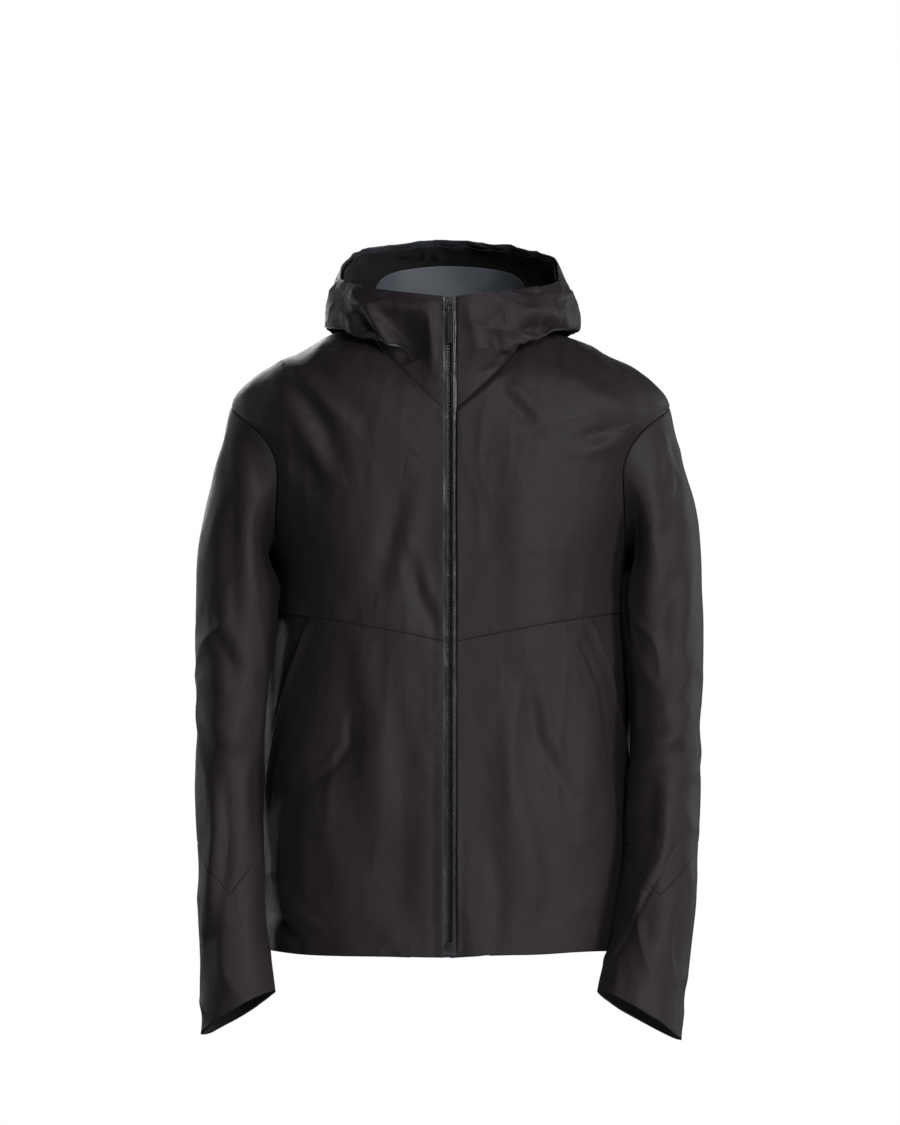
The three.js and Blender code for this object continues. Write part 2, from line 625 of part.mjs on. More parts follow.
for (const side of sides) {
  const turned = (angle) => (side === "left" ? angle : 360 - angle);
  const bed = (level) => {
    const angle = turned(pocketEdge(level) - 2.5);
    return bodyPoint(angle, level).addScaledVector(outOf(bodyPoint, angle, level), pocketZip.sag - pocket.recess);
  };
  const foot = bed(pocketFoot);
  const head = bed(pocketTop);
  const up = head.clone().sub(foot).normalize();
  const middle = (pocketFoot + pocketTop) / 2;
  const out = outOf(bodyPoint, turned(pocketEdge(middle) - 2.5), middle);
  out.addScaledVector(up, -out.dot(up)).normalize();
  const line = new THREE.Group();
  line.position.copy(foot);
  line.setRotationFromMatrix(new THREE.Matrix4().makeBasis(out.clone().negate().cross(up), out.clone().negate(), up));
  jacket.add(line);
  const long = foot.distanceTo(head);
  const p = pocketZip;
  add(line, `pocket_zip_tape_${side}`, block([-p.tapeHalf, -p.tape, 0], [p.tapeHalf, 0, long]), "tape");
  add(line, `pocket_zip_teeth_${side}`,
    block([-p.toothHalf, -p.tape - seat - p.tooth, 3], [p.toothHalf, -p.tape - seat, long - 3]), "teeth");
  const over = -p.tape - seat - p.tooth - seat;
  const top = long - 4;
  add(line, `pocket_zip_slider_${side}`, shapeOf(joined(
    block([-p.sliderHalf, over - 1, top - p.sliderLong], [p.sliderHalf, over, top]),
    block([-p.sliderHalf, over - 1, top - p.sliderLong], [-p.toothHalf - seat, -p.tape - 0.4, top]),
    block([p.toothHalf + seat, over - 1, top - p.sliderLong], [p.sliderHalf, -p.tape - 0.4, top]),
  )), "metal");
  add(line, `pocket_zip_pull_${side}`,
    block([-1.2, over - 2.1, top - p.sliderLong - 16], [1.2, over - 1.3, top - 3]), "rubber");

  add(jacket, `pocket_bag_${side}`, sheet({
    point: bodyPoint,
    ...spanOn(side, fixed(22), (level) => pocketEdge(level) - pocket.underlap - 3),
    start: 0.55, end: 2.75, columns: 8, rows: 8, inset: cloth + 1.8 * layer, thick: 1,
  }), "backer");
}

// ---------------------------------------------------------------- hem tunnel, cord and locks

const hemRise = hem.deep / (bodyLength - lowSkirtDrop); // the tunnel's height in ring numbers
const channel = (angle, level) => {
  const share = Math.min(Math.max(level / hemRise, 0), 1);
  return cloth + 1.3 * layer + hem.hollow * Math.min(1, 4 * share, 4 * (1 - share));
};
add(jacket, "hem_facing", sheet({
  point: bodyPoint, from: fixed(12), to: fixed(348),
  start: 0, end: hemRise, columns: 40, rows: 4, inset: channel, thick: 1, gap: 0.2,
}), "backer");

// The cord lies in the tunnel all the way round, from one side of the zip to the other.
class HemLine extends THREE.Curve {
  getPoint(t, target = new THREE.Vector3()) {
    const angle = lerp(14, 346, t);
    const level = hemRise / 2;
    const inward = outOf(bodyPoint, angle, level).multiplyScalar(-(cloth + layer + hem.hollow - hem.cord / 2 - seat));
    return target.copy(bodyPoint(angle, level).add(inward));
  }
}
const cordSection = new THREE.Shape().absarc(0, 0, hem.cord / 2, 0, 2 * Math.PI);
add(jacket, "hem_cord", new THREE.ExtrudeGeometry(cordSection, {
  extrudePath: new HemLine(), steps: 52, curveSegments: 3,
}), "lining");

// A push-button lock hangs inside the facing at each side seam, and the cord's tail runs in it.
for (const side of sides) {
  const angle = side === "left" ? lowSideSeam : 360 - lowSideSeam;
  const level = hemRise / 2;
  const outward = outOf(bodyPoint, angle, level);
  const seatDepth = cloth + layer + hem.hollow + 1 + 1.6 * layer + lock.radius;
  const holder = new THREE.Group();
  holder.position.copy(bodyPoint(angle, level).addScaledVector(outward, -seatDepth));
  jacket.add(holder);
  const cup = joined(bar("z", lock.radius, -lock.long / 2, lock.long / 2, [0, 0, 0], 20));
  const room = lock.radius - lock.wall;
  const floorAt = -lock.long / 2 + lock.wall;
  add(holder, `cord_lock_body_${side}`, cut(
    cup,
    bar("z", room, floorAt, lock.long / 2 + 1, [0, 0, 0], 20),
    bar("y", lock.bore / 2, -lock.radius - 1, lock.radius + 1, [0, 0, 1], 12),
  ), "rubber");
  const stem = room - 0.35;
  add(holder, `cord_lock_button_${side}`, cut(
    joined(bar("z", stem, -3.2, lock.long / 2 + 3.2, [0, 0, 0], 20)),
    bar("y", lock.bore / 2 + 0.6, -lock.radius, lock.radius, [0, 0, 1 + lock.travel], 12),
  ), "rubber");
  const springLong = -3.2 - floorAt - 2 * seat;
  add(holder, `cord_lock_spring_${side}`, cut(
    joined(bar("z", stem - 0.6, 0, springLong, [0, 0, floorAt + seat], 16)),
    bar("z", stem - 1.6, -1, springLong + 1, [0, 0, floorAt + seat], 16),
  ), "spring");
}

// ---------------------------------------------------------------- seam tapes and hanger loop

const taped = { inset: cloth + 2.4 * layer, thick: 0.6, gap: 0 };
for (const side of sides) {
  add(jacket, `chest_seam_tape_${side}`, sheet({
    point: bodyPoint, ...spanOn(side, fixed(9), fixed(52)),
    start: ringOf.chestSeam - 0.1, end: ringOf.chestSeam + 0.1, columns: 8, rows: 1,
    ...taped, inset: cloth + 1.4 * layer,
  }), "backer");
  add(jacket, `shoulder_seam_tape_${side}`, sheet({
    point: bodyPoint, ...spanOn(side, fixed(sideSeam - 2.6), fixed(sideSeam + 2.6)),
    start: 6.5, end: 8.6, columns: 1, rows: 10, ...taped,
  }), "backer");
}
add(jacket, "back_seam_tape", sheet({
  point: bodyPoint, from: fixed(100), to: fixed(260),
  start: ringOf.chestSeam - 0.1, end: ringOf.chestSeam + 0.1, columns: 16, rows: 1, ...taped,
}), "backer");

// The loop is a small strap inside the back of the collar.
const loopHalf = 30;
const loopWide = 6;
const loopHeight = 14;
const strapDepth = neckBehind - 18;
add(jacket, "hanger_loop", shapeOf(joined(
  block([-loopHalf, strapDepth - 4, loopHeight], [loopHalf, strapDepth - 2.8, loopHeight + loopWide]),
  block([-loopHalf, strapDepth - 4, loopHeight], [-loopHalf + 5, strapDepth + 1.5, loopHeight + loopWide]),
  block([loopHalf - 5, strapDepth - 4, loopHeight], [loopHalf, strapDepth + 1.5, loopHeight + loopWide]),
)), "lining");

export default jacket;
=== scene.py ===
import json
import math

import bmesh
import bpy
import numpy as np
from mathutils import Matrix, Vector


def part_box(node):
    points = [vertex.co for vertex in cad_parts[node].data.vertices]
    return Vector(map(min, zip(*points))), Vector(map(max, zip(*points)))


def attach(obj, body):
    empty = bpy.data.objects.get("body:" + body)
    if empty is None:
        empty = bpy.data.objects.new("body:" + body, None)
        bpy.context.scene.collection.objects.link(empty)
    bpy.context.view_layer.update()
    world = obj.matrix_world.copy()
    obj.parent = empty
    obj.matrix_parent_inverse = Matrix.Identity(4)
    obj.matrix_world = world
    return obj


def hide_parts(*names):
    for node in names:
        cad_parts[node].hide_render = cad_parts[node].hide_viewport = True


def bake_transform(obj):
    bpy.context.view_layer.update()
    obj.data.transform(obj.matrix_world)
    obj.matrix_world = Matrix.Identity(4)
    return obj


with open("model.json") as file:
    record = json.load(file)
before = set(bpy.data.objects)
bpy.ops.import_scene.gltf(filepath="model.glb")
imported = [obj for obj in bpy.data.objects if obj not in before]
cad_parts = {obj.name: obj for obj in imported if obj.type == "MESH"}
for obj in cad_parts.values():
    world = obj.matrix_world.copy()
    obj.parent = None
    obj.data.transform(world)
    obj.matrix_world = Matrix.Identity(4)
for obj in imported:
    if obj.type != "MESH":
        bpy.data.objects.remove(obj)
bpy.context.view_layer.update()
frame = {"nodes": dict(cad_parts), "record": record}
mm = 0.001
detail = 1.0
print("frame loaded:", len(frame["nodes"]), "nodes")


# rings round the body, in millimetres, from the hem up and then up the hood

zipFoot = np.array([0.0, -150.0, -682.0])
zipHead = np.array([0.0, -112.0, 19.0])
zipOpening = 7.3  # from the zip's middle to each front edge


def zipAhead(height):
    share = (height - zipFoot[2]) / (zipHead[2] - zipFoot[2])
    return -(zipFoot[1] + (zipHead[1] - zipFoot[1]) * share)


ringKeys = ("front", "side", "back", "half", "behind", "square", "full", "shift", "sag")
bodyRings = np.array([
    (-686, -686, -702, 200, 128, 2.30, 4, 24, 2.0),  # hem
    (-560, -560, -560, 199, 124, 2.35, 5, 23, 2.0),
    (-445, -445, -437, 195, 118, 2.40, 6, 22, 2.0),
    (-351, -320, -311, 187, 123, 2.40, 8, 22, 2.0),  # chest seam
    (-276, -262, -250, 185, 126, 2.50, 9, 24, 2.0),  # under the arm
    (-210, -168, -195, 211, 126, 2.20, 7, 4, 2.0),
    (-168, -100, -138, 238, 121, 2.10, 3, 0, 2.0),  # shoulder tip
    (-138, -61, -72, 205, 113, 2.10, 0, 0, 2.0),
    (-116, -28, -25, 142, 100, 2.05, 0, 0, 2.0),
    (-100, -7, 3, 92, 82, 2.00, 0, 0, 2.0),  # hood seam
])
hoodRings = np.array([
    (-100, -7, 3, 92, 82, 2.00, 0, 0, 2.0),
    (-82, -1, -26, 108, 113, 2.00, 0, 0, 2.6),
    (-64, -9, -92, 127, 142, 2.05, 1, 0, 3.0),
    (-46, -13, -124, 138, 172, 2.10, 2, 0, 3.0),
    (-27, 3, -72, 139, 200, 2.15, 3, 0, 2.6),
    (-9, 21, 4, 134, 194, 2.15, 3, 0, 1.5),
    (6, 35, 60, 128, 164, 2.10, 2, 0, 1.1),
    (19, 46, 88, 121, 118, 2.00, 0, 0, 0.75),
])
collarRings = np.array([
    (-40, -4, 6, 85, 75, 2.00, 0, 0, 2.0),
    (-8, 24, 32, 83, 71, 2.00, 0, 0, 2.0),
    (14, 50, 58, 80, 68, 2.00, 0, 0, 2.0),
])


def mixRings(table, level):
    last = len(table) - 1
    i = np.clip(np.floor(level).astype(int), 0, last - 1)
    f = (level - i)[..., None]
    a, b, c, d = (table[np.clip(i + k, 0, last)] for k in (-1, 0, 1, 2))
    out, into, rise = (c - a) / 2, (d - b) / 2, c - b
    mixed = b + f * (out + f * (3 * rise - 2 * out - into + f * (out + into - 2 * rise)))
    return dict(zip(ringKeys, np.moveaxis(mixed, -1, 0)))


def ringPoints(ring, angle, ease=1.0):
    side = np.where(angle > 180, -1.0, 1.0)
    turn = np.radians(np.minimum(angle, 360 - angle))
    across, along = np.sin(turn), np.abs(np.cos(turn))
    atFront = turn <= math.pi / 2
    ahead = zipAhead(ring["front"]) + ring["shift"]
    depth = np.where(atFront, ahead, ring["behind"] - ring["shift"])
    power = ring["square"]
    reach = (np.abs(across / ring["half"]) ** power + (along / depth) ** power) ** (-1 / power)
    gap = np.where(atFront, zipOpening * (1 - across), 0)
    fullness = np.where(atFront, ring["full"] * np.sin(2 * turn) ** 2, 0)
    toFront = ring["side"] + (ring["front"] - ring["side"]) * np.clip(1 - across, 0, 1) ** ease
    toBack = ring["side"] + (ring["back"] - ring["side"]) * along ** ring["sag"]
    y = ring["shift"] + np.where(atFront, -1, 1) * (reach * along + fullness)
    return np.stack([side * (gap + reach * across), y, np.where(atFront, toFront, toBack)], axis=-1)


slack = {"angle": 99, "half": 13, "level": 2.1, "tall": 2.2, "out": 21}  # cloth that gathers behind each arm


def bodyPoints(angle, level):
    points = ringPoints(mixRings(bodyRings, level), angle)
    away = ((np.minimum(angle, 360 - angle) - slack["angle"]) / slack["half"]) ** 2
    full = slack["out"] * np.exp(-away - ((level - slack["level"]) / slack["tall"]) ** 4)
    points[..., 0] += np.where(angle > 180, -1, 1) * full
    points[..., 1] += 0.35 * full
    hemWave = np.stack([np.minimum(angle, 360 - angle) / 24, np.where(angle > 180, 4.0, 1.0), level * 0], axis=-1)
    points[..., 2] += 2.6 * hashNoise(hemWave, 91) * np.exp(-(level / 0.3) ** 2)
    return points


def hoodPoints(angle, level):
    return ringPoints(mixRings(hoodRings, level), angle, 1 - 0.62 * np.clip(level / 7, 0, 1) ** 2)


def collarPoints(angle, level):
    ring = mixRings(collarRings, level)
    points = ringPoints(ring, angle)
    front = (ring["half"] - 8) / zipAhead(ring["front"])
    points[..., 1] *= np.where(points[..., 1] < 0, front, 1)
    return points


# sleeves: rings from the cuff up, then the armhole

armhole = {"angle": 95, "level": 5.07, "ahead": 25, "behind": 26, "tall": 0.97}
sleeveKeys = ("drop", "out", "ahead", "half", "deep")
sleeveRings = (
    (751, 229, 86, 39, 50),
    (690, 233, 73, 38, 52),
    (620, 237, 59, 37, 55),
    (524, 238, 41, 37, 58),
    (416, 236.5, 26, 38, 62),
    (300, 228, 10, 42, 66),
)
arms = {
    "left": {"in": 26, "ahead": 40, "fuller": 6},
    "right": {"in": 0, "ahead": 0, "fuller": 0},
}
cuffSlant = {"out": 0.58, "back": 0.17}
atArmhole = len(sleeveRings)
elbowLevel = 2.4
upperArm = {"level": 5.35, "tall": 0.42, "out": 8}
elbowDart = {"rise": 0.15, "dip": 0.58, "half": 72}


def dartAt(turn):
    away = np.minimum(turn % 360, 360 - turn % 360)
    return elbowDart["rise"] - elbowDart["dip"] * np.clip(1 - away / elbowDart["half"], 0, 1)


def sleeveStation(side, turn, number):
    across, along = np.sin(np.radians(turn)), np.cos(np.radians(turn))
    if number == atArmhole:
        widest = np.where(along > 0, armhole["ahead"], armhole["behind"])
        return bodyPoints(armhole["angle"] - widest * along, armhole["level"] + armhole["tall"] * across)
    ring = dict(zip(sleeveKeys, sleeveRings[number]))
    hang = (1 - number / (atArmhole - 1)) ** 1.3
    arm = arms[side]
    slant = max(0, 1 - number / 2)
    out = (ring["half"] + arm["fuller"] * hang) * across
    back = -ring["deep"] * along
    return np.stack([
        ring["out"] - arm["in"] * hang + out,
        -ring["ahead"] - arm["ahead"] * hang + back,
        -ring["drop"] - slant * (cuffSlant["out"] * out + cuffSlant["back"] * back),
    ], axis=-1)


def sleevePoints(side):
    mirror = np.array([1.0 if side == "left" else -1.0, 1, 1])

    def place(angle, level):
        turn = angle if side == "left" else 360 - angle
        at = np.stack([sleeveStation(side, turn, k) for k in range(atArmhole + 1)])
        slopes = np.zeros_like(at)
        for k in range(atArmhole):
            slopes[k] = (at[k + 1] - at[max(k - 1, 0)]) / 2
            most = 1.4 * np.linalg.norm(at[k + 1] - at[k], axis=-1, keepdims=True)
            size = np.linalg.norm(slopes[k], axis=-1, keepdims=True)
            slopes[k] *= np.minimum(1, most / size)
        share = ((1 + np.sin(np.radians(turn))) / 2)[..., None]
        run = np.array([0.95, 0, -0.3]) * (1 - share) + np.array([0.26, 0, -0.96]) * share
        run /= np.linalg.norm(run, axis=-1, keepdims=True)
        last = np.linalg.norm(at[-1] - at[-2], axis=-1, keepdims=True)
        slopes[-1] = -run * last
        i = np.clip(np.floor(level).astype(int), 0, atArmhole - 1)
        f = (level - i)[..., None]

        def pick(table, k):
            return np.take_along_axis(table, (i + k)[None, ..., None], axis=0)[0]

        g, h = f ** 2, f ** 3
        points = (pick(at, 0) * (2 * h - 3 * g + 1) + pick(slopes, 0) * (h - 2 * g + f)
                  + pick(at, 1) * (3 * g - 2 * h) + pick(slopes, 1) * (h - g))
        fuller = upperArm["out"] * np.exp(-((level - upperArm["level"]) / upperArm["tall"]) ** 2)
        points[..., 0] += fuller * np.clip(np.sin(np.radians(turn)), 0, 1)
        return points * mirror

    return place


# folds: strokes pressed into the cloth, and a noise for the rest

def hashNoise(p, seed):
    cell = np.floor(p).astype(np.int64)
    f = p - cell
    f = f * f * f * (f * (f * 6 - 15) + 10)
    total = 0
    for corner in np.ndindex(2, 2, 2):
        c = cell + np.array(corner)
        n = (c[..., 0] * 374761393 + c[..., 1] * 668265263 + c[..., 2] * 2147483647 + seed * 974711) & 0x7FFFFFFF
        n = ((n ^ (n >> 13)) * 1274126177) & 0x7FFFFFFF
        value = ((n ^ (n >> 16)) & 0xFFFF) / 65535 * 2 - 1
        weight = np.prod(np.where(np.array(corner) == 1, f, 1 - f), axis=-1)
        total = total + value * weight
    return total


def slopeNormals(place, angle, level):
    step = 0.02
    alongU = place(angle + step * 20, level) - place(angle - step * 20, level)
    alongV = place(angle, level + step) - place(angle, level - step)
    normal = np.cross(alongU, alongV)
    return normal / (np.linalg.norm(normal, axis=-1, keepdims=True) + 1e-9)


def strokeHeight(points, normals, strokes):
    total = np.zeros(points.shape[:-1])
    for stroke in strokes:
        facing = -1 if stroke.get("view", "front") == "front" else 1
        seen = np.clip(facing * normals[..., 1] * 2.5 + 0.6, 0, 1)
        here = points[..., [0, 2]]
        path = np.array(stroke["path"], float)
        lengths = np.linalg.norm(np.diff(path, axis=0), axis=1)
        whole, run = lengths.sum(), 0.0
        best = np.full(points.shape[:-1], 1e9)
        signed, place = np.zeros_like(best), np.zeros_like(best)
        for a, b, length in zip(path[:-1], path[1:], lengths):
            along = (b - a) / length
            t = np.clip((here - a) @ along, 0, length)
            off = here - a - t[..., None] * along
            away = np.linalg.norm(off, axis=-1)
            near = away < best
            best = np.where(near, away, best)
            signed = np.where(near, np.sign(off @ np.array([-along[1], along[0]])) * away, signed)
            place = np.where(near, (run + t) / whole, place)
            run += length
        w = stroke["width"]
        taper = np.clip(np.sin(math.pi * (0.06 + 0.88 * place)), 0, 1) ** 0.7
        lean = stroke.get("lean", 0)
        profile = np.exp(-(signed / w) ** 2)
        if lean:
            profile = profile - 0.55 * np.exp(-((signed - lean * 1.5 * w) / (0.9 * w)) ** 2)
        total += stroke["height"] * profile * taper * seen
    return total


# one sheet of cloth: a grid laid on a surface, with its seams sunk and its folds pressed in

def spread(count, length, edges):
    places = np.linspace(0, 1, count + 1)
    near = [0.5, 1.2, 2.4]  # millimetres from a seam where the grid is drawn in
    for k, distance in enumerate(near, 1):
        if edges[0] == "seam":
            places[k] = distance / length
        if edges[1] == "seam":
            places[-1 - k] = 1 - distance / length
    first = 3 if edges[0] == "seam" else 0
    last = count - 3 if edges[1] == "seam" else count
    places[first:last + 1] = np.linspace(places[first], places[last], last - first + 1)
    return places


def clothGrid(name, place, spanFrom, spanTo, levels, size, spacing, inset=0.0, edges="ssss", sink=0.65,
              strokes=(), roughness=(), wraps=False, extra=None, slant=None):
    width, tall = size
    kinds = [{"s": "seam", "j": "seam", "f": "free"}[letter] for letter in edges]  # from, to, start, end
    columns = max(8, round(width / spacing * detail))
    rows = max(6, round(tall / spacing * detail))
    mesh = bpy.data.meshes.new(name)
    bm = bmesh.new()
    bmesh.ops.create_grid(bm, x_segments=columns, y_segments=rows, size=0.5)
    bm.to_mesh(mesh)
    bm.free()
    flat = np.empty(len(mesh.vertices) * 3)
    mesh.vertices.foreach_get("co", flat)
    flat = flat.reshape(-1, 3)
    across = np.clip(np.rint((flat[:, 0] + 0.5) * columns).astype(int), 0, columns)
    up = np.clip(np.rint((flat[:, 1] + 0.5) * rows).astype(int), 0, rows)
    s = spread(columns, width, ("free", "free") if wraps else kinds[:2])[across]
    t = spread(rows, tall, kinds[2:])[up]
    steps = np.linspace(0, 1, len(levels))
    v = np.interp(t, steps, levels)
    low, high = spanFrom(v), spanTo(v)
    u = low + (high - low) * s
    if slant is not None:
        v = v + slant(u, t)
    base = place(u, v)
    normals = slopeNormals(place, u if wraps else np.clip(u, 0.5, 359.5), v)
    depth = np.zeros(len(s)) + (inset(u, v) if callable(inset) else inset)
    away = [s * width, (1 - s) * width, t * tall, (1 - t) * tall]
    for kind, distance in zip(kinds, away):
        if kind == "seam" and not (wraps and (distance is away[0] or distance is away[1])):
            depth = depth + sink * np.exp(-(distance / 0.8) ** 2)
    height = strokeHeight(base, normals, strokes)
    for part in roughness:
        cell = np.array(part["size"], float)
        warp = hashNoise(base / (cell * 1.7), part["seed"] + 50)[..., None] * part.get("warp", 0.9)
        rough = hashNoise(base / cell + warp, part["seed"])
        if part.get("creased"):
            rough = 0.62 - np.sqrt(rough * rough * 5 + 0.012)  # soft ridges where the noise crosses nought
        height = height + part["height"] * rough
    for letter, distance in zip(edges, away):
        if letter == "j":  # sewn to a surface with other folds, so the folds die out towards it
            near = np.clip(distance / 26, 0, 1)
            height = height * near * near * (3 - 2 * near)
    height = height - depth
    if extra is not None:
        height = height + extra(u, v, base, normals)
    points = (base + normals * height[..., None]) * mm
    mesh.vertices.foreach_set("co", points.astype(np.float32).ravel())
    uvMap = mesh.uv_layers.new(name="cloth")
    corner = np.empty(len(mesh.loops), np.int32)
    mesh.loops.foreach_get("vertex_index", corner)
    uv = np.stack([s * width * mm, t * tall * mm], axis=-1)[corner]
    uvMap.data.foreach_set("uv", uv.astype(np.float32).ravel())
    mesh.shade_smooth()
    piece = bpy.data.objects.new(name, mesh)
    bpy.context.scene.collection.objects.link(piece)
    if wraps:
        tidyUp = bmesh.new()
        tidyUp.from_mesh(mesh)
        bmesh.ops.remove_doubles(tidyUp, verts=tidyUp.verts, dist=0.00005)
        tidyUp.to_mesh(mesh)
        tidyUp.free()
    return piece


def thicken(piece, thickness, outer, inner=None):
    piece.data.materials.append(outer)
    piece.data.materials.append(inner or outer)
    solid = piece.modifiers.new("thickness", "SOLIDIFY")
    solid.thickness = thickness * mm
    solid.offset = -1
    solid.use_quality_normals = False
    solid.material_offset = 1
    solid.material_offset_rim = 0
    return piece


def finishPiece(piece, body, nodes):
    if body:
        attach(piece, body)
    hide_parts(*nodes)


def tube(name, path, radius, sides, look):
    mesh = bpy.data.meshes.new(name)
    bm = bmesh.new()
    bmesh.ops.create_grid(bm, x_segments=sides, y_segments=len(path) - 1, size=0.5)
    ahead = np.gradient(path, axis=0)
    ahead /= np.linalg.norm(ahead, axis=1, keepdims=True)
    for vert in bm.verts:
        k = round((vert.co.y + 0.5) * (len(path) - 1))
        turn = (vert.co.x + 0.5) * 2 * math.pi
        first = np.cross(ahead[k], (0, 0, 1) if abs(ahead[k][2]) < 0.8 else (1, 0, 0))
        first /= np.linalg.norm(first)
        second = np.cross(ahead[k], first)
        vert.co = (path[k] + radius * (math.cos(turn) * first + math.sin(turn) * second)) * mm
    bmesh.ops.remove_doubles(bm, verts=bm.verts, dist=0.02 * mm)
    bmesh.ops.holes_fill(bm, edges=bm.edges, sides=sides)
    bmesh.ops.recalc_face_normals(bm, faces=bm.faces)
    bm.to_mesh(mesh)
    bm.free()
    mesh.shade_smooth()
    mesh.materials.append(look)
    piece = bpy.data.objects.new(name, mesh)
    bpy.context.scene.collection.objects.link(piece)
    return piece


def solidPiece(name, bm, look, smoothAngle=40):
    bmesh.ops.recalc_face_normals(bm, faces=bm.faces)
    mesh = bpy.data.meshes.new(name)
    bm.to_mesh(mesh)
    bm.free()
    mesh.shade_smooth()
    mesh.set_sharp_from_angle(angle=math.radians(smoothAngle))
    mesh.materials.append(look)
    piece = bpy.data.objects.new(name, mesh)
    bpy.context.scene.collection.objects.link(piece)
    return piece


# materials

class Value:
    def __init__(self, shader, socket):
        self.shader, self.socket = shader, socket

    def math(self, operation, *others):
        return self.shader.node("ShaderNodeMath", {"operation": operation}, [self, *others])

    def __add__(self, other):
        return self.math("ADD", other)

    def __radd__(self, other):
        return self.math("ADD", other)

    def __sub__(self, other):
        return self.math("SUBTRACT", other)

    def __rsub__(self, other):
        return self.shader.node("ShaderNodeMath", {"operation": "SUBTRACT"}, [other, self])

    def __mul__(self, other):
        return self.math("MULTIPLY", other)

    def __rmul__(self, other):
        return self.math("MULTIPLY", other)


class Shader:
    def __init__(self, name):
        self.material = bpy.data.materials.new(name)
        self.material.use_nodes = True
        self.tree = self.material.node_tree
        self.surface = self.tree.nodes["Principled BSDF"]

    def node(self, kind, settings=None, inputs=(), output=0):
        made = self.tree.nodes.new(kind)
        for key, value in (settings or {}).items():
            setattr(made, key, value)
        pairs = inputs.items() if isinstance(inputs, dict) else enumerate(inputs)
        for key, value in pairs:
            if isinstance(value, Value):
                self.tree.links.new(value.socket, made.inputs[key])
            else:
                made.inputs[key].default_value = value
        return Value(self, made.outputs[output])

    def where(self, space="Object", scale=(1, 1, 1)):
        place = self.node("ShaderNodeTexCoord", output=space)
        return self.node("ShaderNodeMapping", {}, {0: place, "Scale": scale})

    def noise(self, place, scale, detail=3.0, roughness=0.55):
        inputs = {"Vector": place, "Scale": scale, "Detail": detail, "Roughness": roughness}
        return self.node("ShaderNodeTexNoise", {"noise_dimensions": "3D"}, inputs)

    def mix(self, share, low, high):
        made = self.tree.nodes.new("ShaderNodeMix")
        made.data_type = "RGBA"
        for key, value in ((0, share), (6, low), (7, high)):
            if isinstance(value, Value):
                self.tree.links.new(value.socket, made.inputs[key])
            else:
                made.inputs[key].default_value = (*value, 1) if isinstance(value, tuple) else value
        return Value(self, made.outputs[2])

    def set(self, **values):
        for key, value in values.items():
            name = key.replace("_", " ")
            if isinstance(value, Value):
                self.tree.links.new(value.socket, self.surface.inputs[name])
            else:
                self.surface.inputs[name].default_value = (*value, 1) if isinstance(value, tuple) else value
        return self

    def bump(self, height, distance, strength=1.0):
        made = self.node("ShaderNodeBump", {}, {"Strength": strength, "Distance": distance * mm, "Height": height})
        return self.set(Normal=made)


def weave(shader, threads):
    def waves(direction):
        settings = {"wave_type": "BANDS", "bands_direction": direction, "wave_profile": "SIN"}
        inputs = {"Vector": shader.where("UV"), "Scale": threads, "Distortion": 0.0}
        return shader.node("ShaderNodeTexWave", settings, inputs, output=1)

    return waves("X") * 0.5 + waves("Y") * 0.5


shellLook = {
    "colour": (0.0155, 0.0118, 0.0147),
    "worn": (0.0225, 0.0175, 0.0214),
    "roughness": 0.53,
    "threadsPerMetre": 560,
}


def shellFabric():
    s = Shader("shellFabric")
    cloudy = s.noise(s.where(), 9.0)
    fleck = s.noise(s.where("UV"), 900.0, 2.0)
    yarn = weave(s, shellLook["threadsPerMetre"])
    tone = cloudy * 0.55 + fleck * 0.25 + yarn * 0.2
    s.set(Base_Color=s.mix(tone, shellLook["colour"], shellLook["worn"]), Metallic=0.0)
    s.set(Roughness=shellLook["roughness"] + 0.1 * cloudy + 0.06 * yarn)
    s.set(Sheen_Weight=0.02, Sheen_Roughness=0.4, Sheen_Tint=(0.8, 0.78, 0.82), Specular_IOR_Level=0.24)
    slub = s.noise(s.where("UV", (1, 12, 1)), 160.0, 2.0)
    crumple = s.noise(s.where("UV"), 34.0, 4.0, 0.6)
    swell = s.noise(s.where("UV", (1, 0.55, 1)), 21.0, 2.0, 0.5) - 0.5
    threads = yarn * 0.4 + slub * 0.4 + fleck * 0.2
    s.bump(threads * 0.13 + crumple * 1.3 + swell * swell * 14, 1.0, 0.8)
    return s.material


def membrane():
    s = Shader("innerMembrane")
    cloudy = s.noise(s.where(), 22.0)
    knit = weave(s, 900)
    s.set(Base_Color=s.mix(cloudy * 0.7 + knit * 0.3, (0.045, 0.052, 0.062), (0.10, 0.112, 0.132)))
    s.set(Roughness=0.34 + 0.16 * cloudy, Specular_IOR_Level=0.5)
    s.bump(knit * 0.6 + s.noise(s.where(), 60.0) * 0.4, 0.08, 0.6)
    return s.material


def darkTrim():
    s = Shader("darkTrim")
    pile = s.noise(s.where(), 1400.0, 2.0)
    s.set(Base_Color=s.mix(pile, (0.006, 0.006, 0.007), (0.018, 0.017, 0.018)), Roughness=0.82 + 0.1 * pile)
    s.set(Sheen_Weight=0.05, Sheen_Roughness=0.5, Specular_IOR_Level=0.18)
    s.bump(pile * 0.6 + weave(s, 500) * 0.4, 0.15, 0.7)
    return s.material


def laminatedTape():
    s = Shader("laminatedTape")
    streak = s.noise(s.where("Object", (1, 1, 0.05)), 420.0, 2.0)
    wave = s.noise(s.where(), 55.0, 3.0)
    s.set(Coat_Weight=0.4, Coat_Roughness=0.22)
    s.set(Base_Color=s.mix(streak * 0.5 + wave * 0.5, (0.016, 0.016, 0.017), (0.034, 0.034, 0.036)))
    s.set(Roughness=0.24 + 0.16 * wave + 0.05 * streak, Specular_IOR_Level=0.5)
    s.bump(wave * 0.7 + streak * 0.3, 0.25, 0.6)
    return s.material


